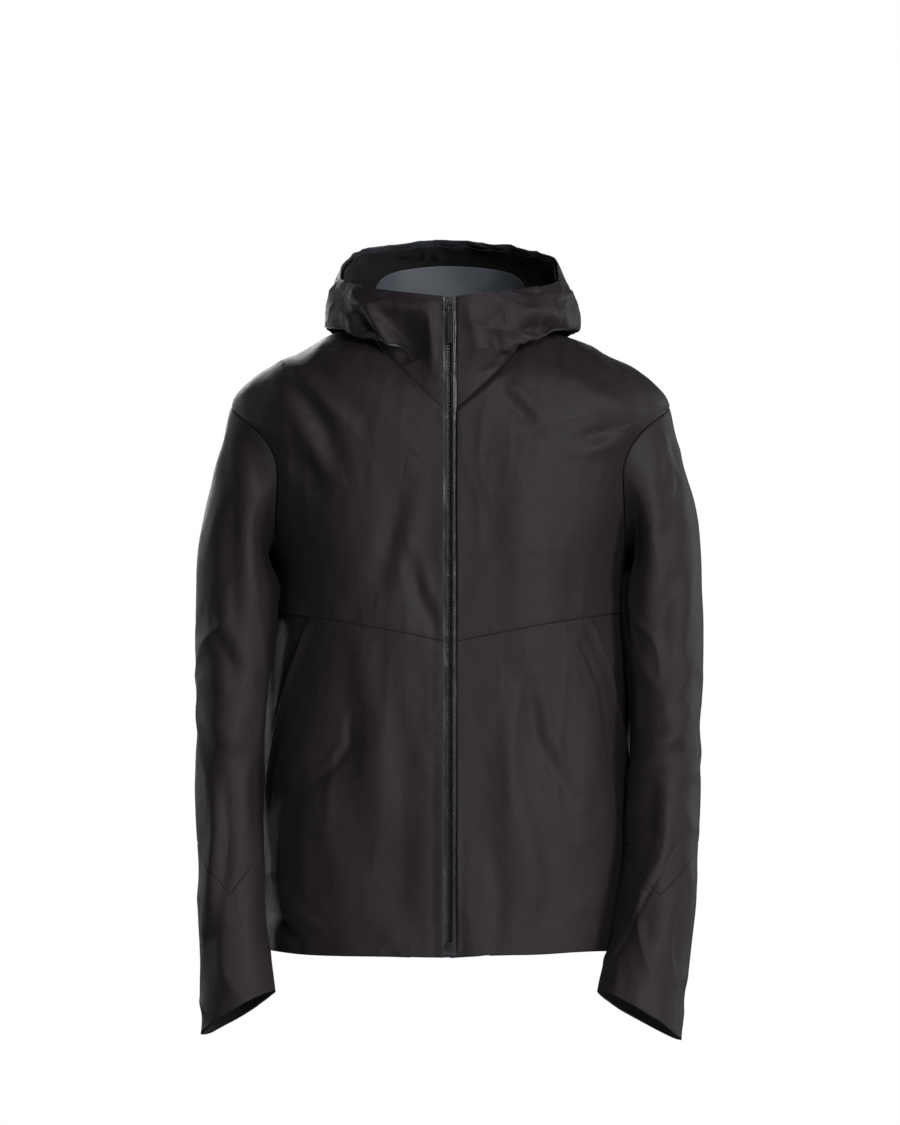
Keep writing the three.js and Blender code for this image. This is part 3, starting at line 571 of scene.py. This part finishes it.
def zipTeethLook():
    s = Shader("zipTeeth")
    grain = s.noise(s.where(), 900.0, 2.0)
    s.set(Base_Color=s.mix(grain, (0.003, 0.003, 0.003), (0.008, 0.008, 0.008)), Roughness=0.32 + 0.14 * grain)
    s.set(Specular_IOR_Level=0.14)
    s.bump(grain, 0.04, 0.5)
    return s.material


def darkMetal():
    s = Shader("darkMetal")
    grain = s.noise(s.where(), 500.0, 3.0)
    rubbed = s.noise(s.where(), 140.0, 4.0)
    s.set(Base_Color=s.mix(rubbed, (0.012, 0.012, 0.013), (0.036, 0.036, 0.038)), Metallic=0.4)
    s.set(Roughness=0.26 + 0.18 * grain)
    s.bump(grain, 0.03, 0.4)
    return s.material


def mouldedRubber():
    s = Shader("mouldedRubber")
    grain = s.noise(s.where(), 1100.0, 2.0)
    s.set(Base_Color=s.mix(grain, (0.005, 0.005, 0.005), (0.012, 0.012, 0.012)), Roughness=0.5 + 0.16 * grain)
    s.set(Specular_IOR_Level=0.22)
    s.bump(grain, 0.06, 0.6)
    return s.material


def springSteel():
    s = Shader("springSteel")
    grain = s.noise(s.where("Object", (1, 1, 4)), 700.0, 2.0)
    s.set(Base_Color=s.mix(grain, (0.30, 0.30, 0.31), (0.45, 0.45, 0.46)), Metallic=1.0, Roughness=0.22 + 0.15 * grain)
    s.bump(grain, 0.02, 0.4)
    return s.material


looks = {
    "shell_fabric": shellFabric(),
    "inner_membrane": membrane(),
    "dark_trim": darkTrim(),
    "laminated_tape": laminatedTape(),
    "zip_teeth": zipTeethLook(),
    "dark_metal": darkMetal(),
    "moulded_rubber": mouldedRubber(),
    "spring_steel": springSteel(),
}
for entry in frame["record"]["subparts"]:
    node = frame["nodes"][entry["node"]]
    node.data.materials.clear()
    node.data.materials.append(looks[entry["material_slot"]])
print("materials made")


# camera and studio

camera = {"ahead": 8.0, "height": -0.2668, "across": -0.0002, "frameTall": 1.215, "plane": -0.05, "sensor": 24}
cameraData = bpy.data.cameras.new("camera")
cameraData.sensor_fit = "VERTICAL"
cameraData.sensor_height = camera["sensor"]
cameraData.lens = camera["sensor"] * (camera["ahead"] + camera["plane"]) / camera["frameTall"]
cameraObject = bpy.data.objects.new("camera", cameraData)
cameraObject.location = (camera["across"], -camera["ahead"], camera["height"])
cameraObject.rotation_euler = (math.pi / 2, 0, 0)
bpy.context.scene.collection.objects.link(cameraObject)
bpy.context.scene.camera = cameraObject

studio = {"white": 1.0}  # a white surround that only the camera sees, so the soft lights set the tones
world = bpy.data.worlds.new("studio")
bpy.context.scene.world = world
world.use_nodes = True
world.node_tree.nodes["Background"].inputs[0].default_value = (1, 1, 1, 1)
world.node_tree.nodes["Background"].inputs[1].default_value = studio["white"]
world.cycles_visibility.diffuse = False
world.cycles_visibility.glossy = False


def softLight(name, place, target, size, power):
    data = bpy.data.lights.new(name, "AREA")
    data.shape = "RECTANGLE"
    data.size, data.size_y = size
    data.energy = power
    light = bpy.data.objects.new(name, data)
    light.location = place
    light.rotation_euler = (Vector(target) - Vector(place)).to_track_quat("-Z", "Y").to_euler()
    bpy.context.scene.collection.objects.link(light)


lights = {  # place, target, size across and up, watts
    "keyLight": ((3.2, -2.6, 1.1), (0, 0, -0.25), (0.8, 1.3), 92),
    "frontLight": ((1.1, -4.3, 1.5), (0, 0, -0.3), (1.0, 1.3), 92),
    "leftLight": ((-3.0, -3.0, 0.2), (0, 0, -0.3), (1.2, 2.2), 12),
    "lowLight": ((0.6, -2.6, -2.4), (0, 0, -0.4), (3.0, 2.4), 44),
    "rightRim": ((2.6, 1.9, 0.2), (0, 0, -0.3), (0.8, 2.2), 26),
    "leftRim": ((-2.6, 2.1, 0.2), (0, 0, -0.3), (0.8, 2.2), 22),
    "backLight": ((-0.8, 4.2, 1.0), (0, 0, -0.3), (2.4, 2.0), 190),
}
for name, facts in lights.items():
    softLight(name, *facts)
bpy.context.scene.view_settings.view_transform = "Standard"


# shell panels

sideSeam, lowSideSeam, hoodSeam = 95, 108, 142
chestLevel, neckLevel, brimLevel, rimLevel = 3, 9, 6.1, 7
pocketLine = {"topDrop": 372, "bottomDrop": 512, "topAngle": 63, "bottomAngle": 82, "hemAngle": 90}
shellThick = 0.9
shell, lining, trim = looks["shell_fabric"], looks["inner_membrane"], looks["dark_trim"]
sleeveBodies = {"left": "sleeve_left", "right": "sleeve_right"}


def armholeReach(level, widest):
    away = np.minimum(1, np.abs(level - armhole["level"]) / armhole["tall"])
    return widest * np.sqrt(1 - away * away)


def frontEdge(level):
    return sideSeam - armholeReach(level, armhole["ahead"])


def backEdge(level):
    return sideSeam + armholeReach(level, armhole["behind"])


def pocketEdge(level):
    drop = -bodyPoints(np.full_like(level, pocketLine["topAngle"]), level)[..., 2]
    down = (drop - pocketLine["topDrop"]) / (pocketLine["bottomDrop"] - pocketLine["topDrop"])
    below = np.clip((drop - pocketLine["bottomDrop"]) / (686 - pocketLine["bottomDrop"]), 0, 1)
    upper = pocketLine["topAngle"] + (pocketLine["bottomAngle"] - pocketLine["topAngle"]) * down
    lower = pocketLine["bottomAngle"] + (pocketLine["hemAngle"] - pocketLine["bottomAngle"]) * below
    return np.where(down < 1, upper, lower)


def still(value):
    return lambda level: np.full_like(level, float(value))


def onSide(side, low, high):
    if side == "left":
        return low, high
    return (lambda level: 360 - high(level)), (lambda level: 360 - low(level))


def sidesOf(side, edges):
    return edges if side == "left" else edges[1] + edges[0] + edges[2:]


# folds seen from the front, in millimetres across and up from the nape
frontStrokes = [
    {"path": [(-182, -48), (-150, -78), (-108, -119)], "width": 11, "height": 5.8, "lean": 1},
    {"path": [(-168, -70), (-140, -110), (-119, -162)], "width": 12, "height": -6.1, "lean": -1},
    {"path": [(-172, -150), (-156, -164), (-140, -188)], "width": 13, "height": -6.1},
    {"path": [(-52, -185), (-60, -220), (-76, -292)], "width": 13, "height": -4.8, "lean": 1},
    {"path": [(-44, -262), (-34, -300), (-16, -337)], "width": 8, "height": -3.7, "lean": 1},
    {"path": [(52, -82), (66, -96), (90, -122)], "width": 9, "height": -4.1, "lean": 1},
    {"path": [(140, -136), (156, -130), (176, -124)], "width": 9, "height": -4.8, "lean": -1},
    {"path": [(214, -176), (206, -200), (194, -230)], "width": 13, "height": -7.6, "lean": 1},
    {"path": [(120, -60), (150, -84), (190, -108)], "width": 13, "height": 3.7, "lean": 1},
    {"path": [(86, -150), (74, -210), (72, -290)], "width": 22, "height": 3.7},
    {"path": [(-96, -448), (-136, -485), (-188, -524)], "width": 19, "height": -5.1},
    {"path": [(58, -410), (66, -500), (88, -618)], "width": 16, "height": 4.8, "lean": 1},
    {"path": [(110, -380), (122, -470), (118, -600)], "width": 20, "height": -3.7},
    {"path": [(85, -400), (96, -457), (131, -521)], "width": 9, "height": -4.1, "lean": 1},
    {"path": [(-196, -616), (-190, -645), (-165, -676)], "width": 8, "height": -6.1, "lean": 1},
    {"path": [(-178, -622), (-166, -640), (-140, -660)], "width": 9, "height": 4.1},
    {"path": [(-109, -430), (-111, -462), (-128, -486), (-154, -504)], "width": 5, "height": -2.0, "lean": -1},
    {"path": [(-92, -350), (-78, -430), (-84, -560)], "width": 18, "height": 4.1, "lean": -1},
    {"path": [(-56, -420), (-48, -520), (-52, -640)], "width": 15, "height": -3.4},
    {"path": [(140, -351), (149, -368), (163, -404), (174, -485), (186, -524)], "width": 3.5, "height": -1.6, "lean": -1},
    {"path": [(40, -560), (52, -620), (44, -680)], "width": 12, "height": -3.7},
]
backStrokes = [
    {"path": [(-120, -60), (-40, -84), (50, -86), (120, -64)], "width": 14, "height": -4.1, "view": "back"},
    {"path": [(-170, -120), (-120, -170), (-60, -200)], "width": 15, "height": -5.4, "lean": 1, "view": "back"},
    {"path": [(176, -118), (126, -176), (58, -214)], "width": 15, "height": -5.4, "lean": -1, "view": "back"},
    {"path": [(-60, -260), (-44, -360), (-70, -460)], "width": 20, "height": 5.1, "view": "back"},
    {"path": [(72, -240), (56, -330), (84, -470)], "width": 18, "height": -5.1, "view": "back"},
    {"path": [(-120, -420), (-134, -520), (-118, -660)], "width": 18, "height": -5.8, "view": "back"},
    {"path": [(8, -420), (-8, -520), (10, -670)], "width": 22, "height": 5.4, "view": "back"},
    {"path": [(128, -440), (140, -540), (124, -668)], "width": 18, "height": 5.1, "view": "back"},
]
bodyStrokes = frontStrokes + backStrokes
bodyNoise = [
    {"size": (105, 150, 210), "height": 4.6, "seed": 3},
    {"size": (66, 90, 150), "height": 2.2, "seed": 12, "creased": True, "warp": 0.7},
    {"size": (28, 60, 100), "height": 0.7, "seed": 8, "creased": True, "warp": 0.5},
    {"size": (15, 22, 26), "height": 0.28, "seed": 9},
]
pocketRoll = {"lift": 2.4, "wide": 5.0, "stitchAt": 11.0, "stitchDeep": 0.7, "perDegree": 2.6, "bed": 4.5}


def pocketRolled(u, v, points, normals):
    # the pocket's front edge is turned over and stitched, so it stands off the panel behind it
    near = (pocketEdge(v) - np.minimum(u, 360 - u)) * pocketRoll["perDegree"]
    opening = np.clip((v - 0.95) / 0.25, 0, 1) * np.clip((2.95 - v) / 0.15, 0, 1)
    roll = pocketRoll["lift"] * np.exp(-(near / pocketRoll["wide"]) ** 2)
    stitch = pocketRoll["stitchDeep"] * np.exp(-((near - pocketRoll["stitchAt"]) / 0.9) ** 2)
    return opening * roll - stitch


def pocketBed(u, v):
    near = (np.minimum(u, 360 - u) - pocketEdge(v)) * pocketRoll["perDegree"]
    return 2.0 + pocketRoll["bed"] * np.exp(-(near / 16) ** 2) * np.clip((3 - v) / 0.2, 0, 1) * np.clip(v / 0.9, 0, 1)


facingPucker = {"across": {"left": 13, "right": -18}, "from": {"left": -520, "right": -270}, "width": 4.5,
                "ripple": 0.7, "dip": 0.9}


def puckered(side):
    # the front facing is glued behind the cloth beside the zip, and the cloth ripples along its edge
    def height(u, v, points, normals):
        away = (points[..., 0] - facingPucker["across"][side]) / facingPucker["width"]
        band = np.exp(-away ** 2) * np.clip((facingPucker["from"][side] - points[..., 2]) / 60, 0, 1)
        steps = np.stack([points[..., 0] / 30, points[..., 2] * 0 + 3, points[..., 2] / 7.5], axis=-1)
        return band * (facingPucker["ripple"] * hashNoise(steps, 71) - facingPucker["dip"])
    return height


upperLevels = np.concatenate([
    np.linspace(chestLevel, armhole["level"] - armhole["tall"], 12)[:-1],
    armhole["level"] - armhole["tall"] * np.cos(np.linspace(0, math.pi, 60)),
    np.linspace(armhole["level"] + armhole["tall"], neckLevel, 50)[1:],
])
lowerLevels = np.linspace(0, chestLevel, 20)
for side in ("left", "right"):
    spans = onSide(side, still(0), frontEdge)
    piece = clothGrid(f"frontUpper_{side}", bodyPoints, *spans, upperLevels, (255, 330), 2.0,
                      edges=sidesOf(side, "fjsj"), strokes=bodyStrokes, roughness=bodyNoise, extra=puckered(side))
    finishPiece(thicken(piece, shellThick, shell, lining), "jacket_body", [f"front_upper_{side}"])
    spans = onSide(side, still(0), pocketEdge)
    piece = clothGrid(f"frontLower_{side}", bodyPoints, *spans, lowerLevels, (235, 345), 2.0,
                      edges=sidesOf(side, "fffs"), strokes=bodyStrokes, roughness=bodyNoise,
                      extra=lambda *at: puckered(side)(*at) + pocketRolled(*at))
    finishPiece(thicken(piece, shellThick, shell, lining), "jacket_body", [f"front_lower_{side}"])
    spans = onSide(side, lambda level: pocketEdge(level) - 3.5, still(lowSideSeam + 1.4))
    piece = clothGrid(f"sidePanel_{side}", bodyPoints, *spans, lowerLevels, (105, 365), 2.4, inset=pocketBed,
                      edges=sidesOf(side, "fsfs"), strokes=bodyStrokes, roughness=bodyNoise)
    finishPiece(thicken(piece, shellThick, shell, lining), "jacket_body", [f"side_panel_{side}"])
piece = clothGrid("backUpper", bodyPoints, backEdge, lambda level: 360 - backEdge(level), upperLevels,
                  (420, 330), 2.4, edges="jjsj", strokes=bodyStrokes, roughness=bodyNoise)
finishPiece(thicken(piece, shellThick, shell, lining), "jacket_body", ["back_upper"])
piece = clothGrid("backLower", bodyPoints, still(lowSideSeam), still(360 - lowSideSeam), lowerLevels,
                  (400, 385), 2.4, edges="ssfs", strokes=bodyStrokes, roughness=bodyNoise)
finishPiece(thicken(piece, shellThick, shell, lining), "jacket_body", ["back_lower"])
print("body panels made")


# sleeves

sleeveNoise = [
    {"size": (60, 60, 130), "height": 3.4, "seed": 21},
    {"size": (46, 50, 80), "height": 2.0, "seed": 25, "creased": True, "warp": 1.2},
    {"size": (22, 26, 44), "height": 0.6, "seed": 22},
]
sleeveStrokes = {
    "right": [
        {"path": [(-244, -150), (-236, -260), (-232, -420)], "width": 13, "height": -3.6, "lean": 1},
        {"path": [(-262, -330), (-240, -372), (-214, -400)], "width": 11, "height": -3.4, "lean": 1},
        {"path": [(-268, -430), (-246, -452), (-216, -462)], "width": 12, "height": 3.0, "lean": -1},
        {"path": [(-256, -500), (-252, -560), (-264, -660)], "width": 8, "height": 4.0, "lean": 1},
        {"path": [(-234, -520), (-238, -600), (-226, -700)], "width": 12, "height": -3.0},
        {"path": [(-212, -540), (-206, -600), (-200, -680)], "width": 10, "height": 2.4},
    ],
    "left": [
        {"path": [(240, -150), (238, -260), (226, -420)], "width": 14, "height": -3.4, "lean": -1},
        {"path": [(262, -250), (244, -300), (214, -330)], "width": 12, "height": -2.6, "lean": -1},
        {"path": [(266, -420), (244, -452), (206, -470)], "width": 12, "height": 3.0, "lean": 1},
        {"path": [(184, -570), (196, -600), (213, -622)], "width": 2.2, "height": -1.5},
        {"path": [(243, -568), (211, -624), (176, -694), (166, -716)], "width": 2.2, "height": -1.7},
        {"path": [(216, -480), (212, -540), (206, -600)], "width": 13, "height": -3.4, "lean": 1},
        {"path": [(236, -600), (226, -660), (206, -720)], "width": 12, "height": 2.6},
    ],
}
for side in ("left", "right"):
    place = sleevePoints(side)
    for part, low, high, tall, edges, flat, area in (
        ("Upper", elbowLevel, atArmhole, 470, "ffsj", (0.36, 0.50), 0.146),
        ("Forearm", 0, elbowLevel, 180, "fffs", (0.32, 0.26), 0.052),
    ):
        slant = (lambda u, t: dartAt(u) * (1 - t)) if part == "Upper" else (lambda u, t: dartAt(u) * t)
        piece = clothGrid(f"sleeve{part}_{side}", place, still(0), still(360), np.linspace(low, high, 40),
                          (330, tall), 2.2, edges=edges, strokes=sleeveStrokes[side], roughness=sleeveNoise,
                          wraps=True, slant=slant)
        thicken(piece, shellThick, shell, lining)
        body = None if part == "Upper" else sleeveBodies[side]
        finishPiece(piece, body, [f"sleeve_{part.lower()}_{side}"])
        if part == "Upper":
            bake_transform(piece)
    piece = clothGrid(f"cuffFacing_{side}", place, still(0), still(360), np.linspace(0, 0.45, 8),
                      (300, 40), 3.0, inset=2.4, edges="ffff", sink=0, strokes=sleeveStrokes[side],
                      roughness=sleeveNoise, wraps=True)
    finishPiece(thicken(piece, 0.6, trim), sleeveBodies[side], [f"cuff_facing_{side}"])
print("sleeves made")


# hood and collar

hoodStrokes = [
    {"path": [(-104, 12), (-66, 8), (-24, 4)], "width": 9, "height": 7},
    {"path": [(-116, 16), (-98, -10), (-80, -36)], "width": 10, "height": -14},
    {"path": [(-94, 8), (-80, -14), (-64, -40)], "width": 8, "height": 6, "lean": 1},
    {"path": [(-62, -2), (-50, -28), (-40, -52)], "width": 20, "height": -21},
    {"path": [(-23, 8), (-21, -28), (-19, -58)], "width": 6, "height": 6},
    {"path": [(136, -26), (104, -16), (87, -18), (72, -28)], "width": 9, "height": -7, "lean": 0.7},
    {"path": [(130, -4), (96, 4), (56, -8)], "width": 12, "height": 7},
    {"path": [(47, -18), (50, -34), (56, -50)], "width": 7, "height": -6},
    {"path": [(30, -68), (42, -63), (58, -58)], "width": 6, "height": -4},
    {"path": [(-118, 30), (-128, 0), (-122, -22)], "width": 10, "height": -7, "lean": 1},
    {"path": [(20, 6), (30, -30), (26, -60)], "width": 9, "height": 4},
    {"path": [(-90, 40), (-60, -20), (-20, -60)], "width": 18, "height": -8, "view": "back"},
    {"path": [(84, 44), (60, -24), (24, -66)], "width": 18, "height": -8, "view": "back"},
    {"path": [(-70, -70), (0, -92), (70, -70)], "width": 15, "height": 8, "view": "back"},
]
hoodNoise = [
    {"size": (60, 64, 54), "height": 3.0, "seed": 31},
    {"size": (44, 46, 36), "height": 1.8, "seed": 36, "creased": True, "warp": 1.1},
    {"size": (24, 26, 22), "height": 0.9, "seed": 32, "creased": True, "warp": 1.4},
]
for side in ("left", "right"):
    spans = onSide(side, still(0), still(hoodSeam))
    piece = clothGrid(f"hoodSide_{side}", hoodPoints, *spans, np.linspace(0, rimLevel, 40), (310, 200), 1.8,
                      edges=sidesOf(side, "fsjf"), strokes=hoodStrokes, roughness=hoodNoise)
    finishPiece(thicken(piece, shellThick, shell, lining), "jacket_body", [f"hood_side_{side}"])
piece = clothGrid("hoodMiddle", hoodPoints, still(hoodSeam), still(360 - hoodSeam), np.linspace(0, brimLevel, 40),
                  (190, 380), 2.2, edges="ssjs", strokes=hoodStrokes, roughness=hoodNoise)
finishPiece(thicken(piece, shellThick, shell, lining), "jacket_body", ["hood_middle"])
piece = clothGrid("hoodBrim", hoodPoints, still(hoodSeam), still(360 - hoodSeam),
                  np.linspace(brimLevel, rimLevel, 12), (170, 60), 2.2, edges="sssf",
                  strokes=hoodStrokes, roughness=hoodNoise)
finishPiece(thicken(piece, shellThick, shell, lining), "jacket_body", ["hood_brim"])
piece = clothGrid("hoodFacing", hoodPoints, still(12), still(348), np.linspace(4.9, 6.85, 14), (640, 70), 2.6,
                  inset=4.6, edges="ffff", sink=0, strokes=hoodStrokes, roughness=hoodNoise)
finishPiece(thicken(piece, 0.6, trim), "jacket_body", ["hood_facing"])


def collarSlant(u, t):
    return -1.9 * t * np.exp(-((np.minimum(u, 360 - u) - 52) / 46) ** 2)


collarNoise = [{"size": (40, 40, 40), "height": 1.5, "seed": 41}]
piece = clothGrid("collarStand", collarPoints, still(52), still(308), np.linspace(0, 2, 10), (400, 90), 2.6,
                  edges="ffff", sink=0, roughness=collarNoise, slant=collarSlant)
finishPiece(thicken(piece, 1.2, trim, lining), "jacket_body", ["collar"])
print("hood and collar made")


# inner layers

hemRise, hemHollow = 0.19, 6.0


def hemInset(angle, level):
    share = np.clip(level / hemRise, 0, 1)
    return 3.4 + hemHollow * np.minimum(1, np.minimum(4 * share, 4 * (1 - share)))


piece = clothGrid("hemFacing", bodyPoints, still(12), still(348), np.linspace(0, hemRise, 8), (860, 26), 3.2,
                  inset=hemInset, edges="ffff", sink=0, strokes=bodyStrokes, roughness=bodyNoise)
finishPiece(thicken(piece, 0.7, lining), "jacket_body", ["hem_facing"])
cordPath = bodyPoints(np.linspace(14, 346, 240), np.full(240, hemRise / 2))
cordNormal = slopeNormals(bodyPoints, np.linspace(14, 346, 240), np.full(240, hemRise / 2))
cord = {"inset": 7.4, "radius": 1.25}
piece = tube("hemCord", cordPath - cordNormal * cord["inset"], cord["radius"], 10, trim)
finishPiece(piece, "jacket_body", ["hem_cord"])

coil = {"turns": 5, "wire": 0.3}
for side in ("left", "right"):
    low, high = (np.array(corner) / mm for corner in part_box(f"cord_lock_spring_{side}"))
    middle, reach = (low + high) / 2, (high[0] - low[0]) / 2 - coil["wire"]
    turn = np.linspace(0, 2 * math.pi * coil["turns"], 14 * coil["turns"])
    coilPath = np.stack([middle[0] + reach * np.cos(turn), middle[1] + reach * np.sin(turn),
                         np.linspace(low[2] + coil["wire"], high[2] - coil["wire"], len(turn))], axis=-1)
    piece = tube(f"lockSpring_{side}", coilPath, coil["wire"], 8, looks["spring_steel"])
    finishPiece(piece, None, [f"cord_lock_spring_{side}"])
    middle[0] * mm
    middle[1] * mm
    low[2] * mm
    middle[0] * mm
    middle[1] * mm
    high[2] * mm
    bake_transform(piece)
for side in ("left", "right"):
    spans = onSide(side, still(22), lambda level: pocketEdge(level) - 10)
    piece = clothGrid(f"pocketBag_{side}", bodyPoints, *spans, np.linspace(0.55, 2.75, 12), (130, 270), 3.0,
                      inset=4.6, edges="ffff", sink=0, strokes=bodyStrokes, roughness=bodyNoise)
    finishPiece(thicken(piece, 0.6, lining), "jacket_body", [f"pocket_bag_{side}"])
    for name, low, high, levels, size, inset, flat in (
        ("chestSeamTape", 9, 52, (2.9, 3.1), (160, 18), 3.0, (0.16, 0.013)),
        ("shoulderSeamTape", 92.4, 97.6, (6.5, 8.6), (14, 130), 4.0, (0.014, 0.13)),
    ):
        spans = onSide(side, still(low), still(high))
        piece = clothGrid(f"{name}_{side}", bodyPoints, *spans, np.linspace(*levels, 6), size, 2.6, inset=inset,
                          edges="ffff", sink=0, strokes=bodyStrokes, roughness=bodyNoise)
        node = {"chestSeamTape": "chest_seam_tape", "shoulderSeamTape": "shoulder_seam_tape"}[name]
        finishPiece(thicken(piece, 0.4, lining), "jacket_body", [f"{node}_{side}"])
piece = clothGrid("backSeamTape", bodyPoints, still(100), still(260), np.linspace(2.9, 3.1, 6), (430, 18), 3.0,
                  inset=3.4, edges="ffff", sink=0, strokes=bodyStrokes, roughness=bodyNoise)
finishPiece(thicken(piece, 0.4, lining), "jacket_body", ["back_seam_tape"])
print("inner layers made")


# main zip

zipRun = zipHead - zipFoot
zipLong = float(np.linalg.norm(zipRun))
zipUp = zipRun / zipLong
zipIn = np.array([0, zipUp[2], -zipUp[1]])
xAxis = np.array([1.0, 0, 0])


def zipPoints(across, along):
    return zipFoot + across[..., None] * xAxis + along[..., None] * zipUp


tapeLook = {"ridge": 0.5, "ridgeAt": 3.6, "ridgeWide": 0.7, "lift": 0.5, "steps": 0.12}


def tapeProfile(u, v, points, normals):
    x = np.abs(u)
    bead = tapeLook["ridge"] * np.exp(-((x - tapeLook["ridgeAt"]) / tapeLook["ridgeWide"]) ** 2)
    lift = tapeLook["lift"] * hashNoise(np.stack([x * 0, v / 60, v / 35], axis=-1), 5)
    steps = hashNoise(np.stack([x / 3, v / 8, v * 0], axis=-1), 6) * tapeLook["steps"]
    return bead + lift * np.clip((x - 3) / 4, 0, 1) + steps


for side, mirror in (("left", 1), ("right", -1)):
    low, high = sorted((0.5 * mirror, 12.5 * mirror))
    piece = clothGrid(f"zipTape_{side}", zipPoints, still(low), still(high), np.linspace(1, zipLong - 1, 20),
                      (12, 700), 0.8, inset=2.6, edges="ffff", sink=0, extra=tapeProfile)
    finishPiece(thicken(piece, 0.7, looks["laminated_tape"]), "jacket_body", [f"zip_tape_{side}"])


def flapProfile(u, v, points, normals):
    return 0.5 * hashNoise(np.stack([u / 20, v / 60, v * 0], axis=-1), 9)


piece = clothGrid("stormFlap", zipPoints, still(-15.5), still(15.5), np.linspace(2, zipLong - 1, 20), (31, 700), 2.4,
                  inset=6.0, edges="ffff", sink=0, extra=flapProfile)
finishPiece(thicken(piece, 0.8, lining), "jacket_body", ["storm_flap"])
piece = clothGrid("chinGuard", zipPoints, still(-24), still(24), np.linspace(632, 701, 10), (48, 69), 2.4,
                  inset=7.4, edges="ffff", sink=0, extra=flapProfile)
finishPiece(thicken(piece, 0.8, trim), "jacket_body", ["chin_guard"])


tooth = {"pitch": 3.0, "from": 10.3, "to": 686, "reach": 2.75, "tip": 0.35, "tall": 1.9, "neck": 0.72,
         "front": 0.25, "tipFront": 0.55, "back": 2.1, "round": 0.28}


def toothRow(name, mirror):
    bm = bmesh.new()
    shift = tooth["pitch"] * (0.75 if mirror > 0 else 0.25)
    for k in range(int((tooth["to"] - tooth["from"]) / tooth["pitch"])):
        centre = tooth["from"] + tooth["pitch"] * k + shift
        for vert in bmesh.ops.create_cube(bm, size=1.0)["verts"]:
            tip = vert.co.x * mirror < 0  # the end that meets the other row
            front = vert.co.y < 0
            x = mirror * (tooth["tip"] if tip else tooth["reach"])
            y = tooth["back"] if not front else tooth["tipFront"] if tip else tooth["front"]
            z = centre + vert.co.z * tooth["tall"] * (1 if tip else tooth["neck"])
            vert.co = Vector((zipFoot + xAxis * x + zipIn * y + zipUp * z) * mm)
    bmesh.ops.bevel(bm, geom=bm.edges, offset=tooth["round"] * mm, affect="EDGES", segments=1, profile=0.5,
                    material=-1)
    return solidPiece(name, bm, looks["zip_teeth"])


for side, mirror in (("left", 1), ("right", -1)):
    finishPiece(toothRow(f"zipTeeth_{side}", mirror), "jacket_body", [f"zip_teeth_{side}"])
print("zip made")


# hanger loop

strapPath = [(-30, 64.5), (-29, 62), (-24, 60.6), (0, 60.0), (24, 60.6), (29, 62), (30, 64.5)]


def strapPoints(u, v):
    path = np.array(strapPath)
    where = np.linspace(0, 1, len(path))
    return np.stack([np.interp(v, where, path[:, 0]), np.interp(v, where, path[:, 1]), u], axis=-1)


piece = clothGrid("hangerLoop", strapPoints, still(14), still(20), np.linspace(0, 1, 30), (6, 66), 0.8,
                  edges="ffff", sink=0)
finishPiece(thicken(piece, 1.0, trim), "jacket_body", ["hanger_loop"])
